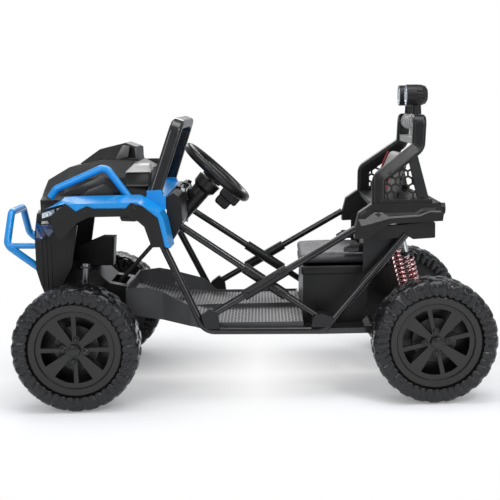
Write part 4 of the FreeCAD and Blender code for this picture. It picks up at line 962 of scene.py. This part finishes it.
def dial_and_keys():
    """The dial and the keys, drawn flat about +Y."""
    dial = lathe("dial", [(0, 0.0016), (0.0105, 0.0016), (0.0116, 0.003), (0.0132, 0.003),
                          (0.0138, 0.001)], 32)
    keys = [block("key", (x, 0.0008, z), (x + KEY_WIDTH, 0.003, z + KEY_HEIGHT), 0.0008)
            for x in KEY_COLUMNS for z in KEY_ROWS]
    return merged([dial] + keys, "instrument_dial")


board = block("instrument_board", (-0.066, -0.001, -0.015), (0.066, 0.001, 0.015), 0.0008)
for piece, material in ((board, trim_white), (dial_and_keys(), gloss_black)):
    piece.matrix_world = POD_FACE
    settle(piece, material)

side_keys = []
for i in range(4):
    x = 187 - 7.5 * i
    z = 528 + 9 * i
    outline = [(x + 6, z + 4), (x + 2, z + 13), (x - 8, z + 8), (x - 5, z - 1)]
    side_keys.append(plate("side_key", outline, 0.0818, 0.0836))
pair(merged(side_keys[::2], "side_keys"), trim_white)
pair(merged(side_keys[1::2], "side_keys_dark"), gloss_black)
print("keys on the face:", len(KEY_COLUMNS) * len(KEY_ROWS), "on the sides:", 2 * len(side_keys))

# %% [markdown]
# The seat is two padded pieces. A real cover is cut flat, sewn along its seams and pulled over foam,
# so it bulges between the seams and is drawn in along them.
# That is what happens here too: a plain pad is turned into cloth, held along the seams and at its base,
# and blown up a little by pressure with no gravity. A cap on how far it may move keeps the pad's real size.

# %% Seams, and a cover blown up between them
SEAM_HALF = 0.003
SEAM_DEPTH = 0.007
SEAM_HELD = 0.004
COVER_PRESSURE = 4.0
COVER_STIFFNESS = 20
COVER_FRAMES = 20
COVER_RISE = 0.005


def grooved(pad, seam, outward, step):
    """Cuts the pad along both edges of its two seams, and moves the strips between them in by a step."""
    for middle in (-seam, seam):
        for edge in (-SEAM_HALF, SEAM_HALF):
            edit_all()
            bpy.ops.mesh.bisect(plane_co=(0, middle + edge, 0), plane_no=(0, 1, 0))
    looks_out = facing(*outward, least=0.5)
    pick_faces(pad, lambda face: looks_out(face) and abs(abs(face.center.y) - seam) < SEAM_HALF)
    pull(*step)
    object_mode()
    return pad


def puffed(pad, seam, base):
    """Turns the pad into a cover, held along its seams and below the height base, that bulges elsewhere."""
    modify(pad, "REMESH", mode="VOXEL", voxel_size=0.0045)
    modify(pad, "SMOOTH", factor=0.5, iterations=4)
    rest = [vertex.co.copy() for vertex in pad.data.vertices]
    held = [i for i, point in enumerate(rest) if abs(abs(point.y) - seam) < SEAM_HELD or point.z < base]
    pad.vertex_groups.new(name="held").add(held, 1.0, "REPLACE")
    pick_only(pad)
    cover = pad.modifiers.new("cover", "CLOTH")
    cover.settings.vertex_group_mass = "held"
    cover.settings.use_pressure = True
    cover.settings.uniform_pressure_force = COVER_PRESSURE
    cover.settings.effector_weights.gravity = 0
    cover.settings.tension_stiffness = COVER_STIFFNESS
    cover.settings.compression_stiffness = COVER_STIFFNESS
    cover.point_cache.frame_start = 1
    cover.point_cache.frame_end = COVER_FRAMES
    for step in range(1, COVER_FRAMES + 1):
        scene.frame_set(step)
    bpy.ops.object.modifier_apply(modifier=cover.name)
    scene.frame_set(1)
    for vertex, before in zip(pad.data.vertices, rest):
        move = vertex.co - before
        if move.length > COVER_RISE:
            vertex.co = before + move.normalized() * COVER_RISE
    modify(pad, "SUBSURF", levels=1)
    return pad


# %% Seat cushion
CUSHION_SEAM = 0.062
CUSHION_SPARE = 0.006
CUSHION_BASE = 0.01
cushion_low, cushion_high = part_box("seat_cushion")


def cushion_pad():
    """The cushion before it is covered: a rounded block with two long grooves in its top."""
    pad = block("seat_cushion_cover", cushion_low, cushion_high, 0.01, 3, CUSHION_SPARE)
    return grooved(pad, CUSHION_SEAM, (0, 0, 1), (0, 0, -SEAM_DEPTH))


cushion = puffed(cushion_pad(), CUSHION_SEAM, cushion_low[2] + CUSHION_BASE)
settle(cushion, seat_cover, smooth=60)
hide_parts("seat_cushion")
print("cushion faces:", len(cushion.data.polygons))

# %% Seat back
BACK_SEAM = 0.058
BACK_BASE = 0.014
back_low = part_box("seat_back")[0]


def back_pad():
    """The seat back before it is covered: a leaning slab with cut corners and two grooves down its face."""
    outline = [(-336, 345), (-336, 396), (-419, 636), (-430, 643), (-455, 636), (-452, 620), (-378, 398),
               (-373, 345)]
    pad = plate("seat_back_cover", outline, -0.121, 0.121, 0.006)
    for side in (-1, 1):
        edit_all()
        bpy.ops.mesh.bisect(plane_co=(-0.4, side * 0.104, 0.58), plane_no=(0, 0.5 * side, 0.22),
                            use_fill=True, clear_outer=True)
    return grooved(pad, BACK_SEAM, (1, 0, 0), (-SEAM_DEPTH, 0, -0.002))


back = puffed(back_pad(), BACK_SEAM, back_low[2] + BACK_BASE)
settle(back, seat_grey, smooth=60)
paint(back, box_black, facing(-1, 0, 0, 0.45))
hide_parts("seat_back")
print("seat back faces:", len(back.data.polygons))

# %% [markdown]
# A red cord is sewn into the front edges of the seat back. It is drawn as a chain of edges along the edge
# and given its thickness by the skin modifier, which rounds the bends.

# %% Red piping
PIPING_R = 0.0024


def piping():
    """The left cord, from the cushion up to the top of the back."""
    cord = chain("piping", [(-0.333, 0.1195, 0.384), (-0.3345, 0.1195, 0.398), (-0.3735, 0.1195, 0.51),
                            (-0.399, 0.1115, 0.584), (-0.415, 0.096, 0.63), (-0.42, 0.086, 0.6385)])
    object_mode()
    cord.modifiers.new("skin", "SKIN")
    for vertex in cord.data.skin_vertices[0].data:
        vertex.radius = (PIPING_R, PIPING_R)
    pick_only(cord)
    bpy.ops.object.modifier_apply(modifier="skin")
    modify(cord, "SUBSURF", levels=2)
    return cord


pair(piping(), piping_red, smooth=60)
print("piping done")

# %% [markdown]
# The rear springs are the one bright thing at the back: close-wound coils of pale pink chrome round
# a red sleeve, under a polished rod. The solid model has fewer turns, so the whole unit is modelled again.
# The coil is a small circle drawn out along a helix by a screw modifier, and the rest is turned on the lathe.

# %% Shock absorbers
SHOCK_TOP = Vector((-0.4295, 0.148, 0.4195))
SHOCK_DOWN = Vector((-0.2363, 0, -0.9717))
SHOCK_LENGTH = 0.215
COIL_TOP = 0.0495
COIL_END = 0.2035
COIL_TURNS = 11
COIL_STEPS = 28


def coil(radius=0.0132, wire=0.0042):
    """The coil about the Z axis, then laid along +Y from COIL_TOP to COIL_END."""
    spring = start("circle", "shock_coil", vertices=12, radius=wire, fill_type="NGON",
                   location=(radius, 0, 0), rotation=(math.pi / 2, 0, 0))
    rise = (COIL_END - COIL_TOP - 2 * wire) / COIL_TURNS
    modify(spring, "SCREW", axis="Z", angle=2 * math.pi, screw_offset=rise, iterations=COIL_TURNS,
           steps=COIL_STEPS, render_steps=COIL_STEPS, use_merge_vertices=True, merge_threshold=0.00001)
    spring.matrix_world = shift(0, COIL_TOP + wire, 0) @ spin(-90, "X")
    pick_only(spring)
    bake()
    return spring


def seat_ring(near, far):
    """A dished spring seat between two places on the axis."""
    return lathe("spring_seat", [(0.0062, near), (0.015, near), (0.0192, near + 0.0012),
                                 (0.0198, far - 0.0008), (0.0186, far), (0.0062, far)], 32)


stem = lathe("shock_stem", [(0, 0.0002), (0.0058, 0.0002), (0.0058, 0.1), (0, 0.1)], 24)
sleeve = lathe("shock_sleeve", [(0, 0.09), (0.0078, 0.09), (0.0086, 0.0912), (0.0086, 0.204),
                                (0, 0.204)], 32)
eye = lathe("eye", [(0.0045, -0.0098), (0.0108, -0.0098), (0.0118, -0.0086), (0.0118, 0.0086),
                    (0.0108, 0.0098), (0.0045, 0.0098), (0.0045, -0.0098)], 28)
laid = pointing(SHOCK_TOP, SHOCK_DOWN)
seats = merged([seat_ring(0.044, 0.049), seat_ring(0.204, 0.2095)], "shock_body")
spring = coil()
for piece in (stem, sleeve, seats, spring):
    piece.matrix_world = laid
eye.matrix_world = shift(*(SHOCK_TOP + SHOCK_DOWN * SHOCK_LENGTH))
pair(stem, chrome)
pair(sleeve, sleeve_red)
pair(merged([seats, eye], "shock_body"), steel_black)
pair(spring, coil_red, smooth=60)
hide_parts("rear_shocks")
print("shock absorbers with", COIL_TURNS, "turns")

# %% [markdown]
# The box under the seat closes with a lid that overlaps it all round, and two buckles at the back hold
# the belt.

# %% Lid and buckles
lid = block("seat_lid", (-0.3325, -0.1622, 0.3195), (-0.1505, 0.1622, 0.344), 0.0055, 3)
settle(lid, box_black)


def buckle():
    """One belt buckle standing at the cushion's rear corner, with a push button."""
    case = block("buckle", (-0.326, 0.133, 0.378), (-0.28, 0.149, 0.399), 0.004)
    pick_faces(case, facing(1, 0, 0))
    pull(0.012, 0, -0.0035)
    bpy.ops.transform.resize(value=(1, 0.8, 0.6))
    pick_faces(case, facing(0, 0, 1))
    bpy.ops.mesh.inset(thickness=0.0025)
    pull(0, 0, 0.0035)
    object_mode()
    return case


pair(buckle(), gloss_black)
print("lid and buckles done")

# %% [markdown]
# The studio is a pale sweep with soft light from above and from both sides.
# The world is white to the camera, but gives the object less than half of that light,
# so that colours come out about as they are written.

# %% World
def add_world():
    world = bpy.data.worlds.new("studio")
    world.use_nodes = True
    tree = world.node_tree
    tree.nodes.clear()
    out = tree.nodes.new("ShaderNodeOutputWorld")
    mix = tree.nodes.new("ShaderNodeMixShader")
    path = tree.nodes.new("ShaderNodeLightPath")
    tree.links.new(path.outputs["Is Camera Ray"], mix.inputs["Fac"])
    for place, colour, strength in ((1, (0.93, 0.96, 1.0, 1), 0.42), (2, (1, 1, 1, 1), 1.0)):
        light = tree.nodes.new("ShaderNodeBackground")
        light.inputs["Color"].default_value = colour
        light.inputs["Strength"].default_value = strength
        tree.links.new(light.outputs["Background"], mix.inputs[place])
    tree.links.new(mix.outputs["Shader"], out.inputs["Surface"])
    scene.world = world
    print("world:", world.name)


add_world()

# %% Lamps
def softbox(name, place, target, size, power):
    data = bpy.data.lights.new(name, "AREA")
    data.shape = "RECTANGLE"
    data.size, data.size_y = size
    data.energy = power
    lamp = bpy.data.objects.new(name, data)
    scene.collection.objects.link(lamp)
    lamp.location = place
    lamp.rotation_euler = (Vector(target) - Vector(place)).to_track_quat("-Z", "Y").to_euler()
    print("softbox", name, power, "W")


softbox("overhead", (0.1, 0.3, 3.0), (0, 0, 0.3), (2.6, 1.4), 50)
softbox("left_side", (1.6, 3.0, 1.9), (0, 0, 0.4), (1.4, 1.6), 26)
softbox("right_side", (-2.0, 2.6, 1.5), (0, 0, 0.4), (1.0, 1.8), 18)
softbox("spark", (-1.3, 1.7, 2.3), (0, 0.3, 0.2), (0.4, 0.4), 14)
softbox("behind", (0.4, -2.6, 2.0), (0, 0, 0.4), (2.2, 1.2), 30)

# %% [markdown]
# The floor is white card. To the camera most of its light is its own, so it stays pale under the softboxes.
# Near the four wheels the larger part is real light, so the wheels still cast their shadows.

# %% Floor
def from_wheels(card):
    """How far a point of the floor is from the nearest wheel's foot: the four are folded onto one."""
    spot = card.spot()
    middle = ((FRONT_X + REAR_X) / 2, 0, 0)
    foot = ((FRONT_X - REAR_X) / 2, WHEEL_Y, 0)
    for operation, other in (("SUBTRACT", {1: middle}), ("ABSOLUTE", {}), ("SUBTRACT", {1: foot})):
        spot = card.node("ShaderNodeVectorMath", {"operation": operation}, {0: spot, **other}, "Vector")
    return card.node("ShaderNodeVectorMath", {"operation": "LENGTH"}, {0: spot}, "Value")


def add_floor():
    floor = start("plane", "studio_floor", size=40, location=(0, 0, 0))
    card = Finish("white_card", (1, 1, 1), 1.0)
    own = card.node("ShaderNodeMapRange", {"interpolation_type": "SMOOTHSTEP"},
                    {"Value": from_wheels(card), "From Min": 0.1, "From Max": 0.6, "To Min": 0.2,
                     "To Max": 1.0})
    seen = card.node("ShaderNodeLightPath", output="Is Camera Ray")
    lit = card.node("ShaderNodeBsdfDiffuse", {}, {"Color": (0.92, 0.93, 0.95, 1)})
    glow = card.node("ShaderNodeEmission", {}, {"Color": (1, 1, 1, 1), "Strength": 1.0})
    mixed = card.node("ShaderNodeMixShader", {}, {0: own * seen, 1: lit, 2: glow})
    card.tree.links.new(mixed.socket, card.out.inputs["Surface"])
    floor.data.materials.append(card.material)
    print("floor:", floor.name)


add_floor()
scene.view_settings.view_transform = "Standard"
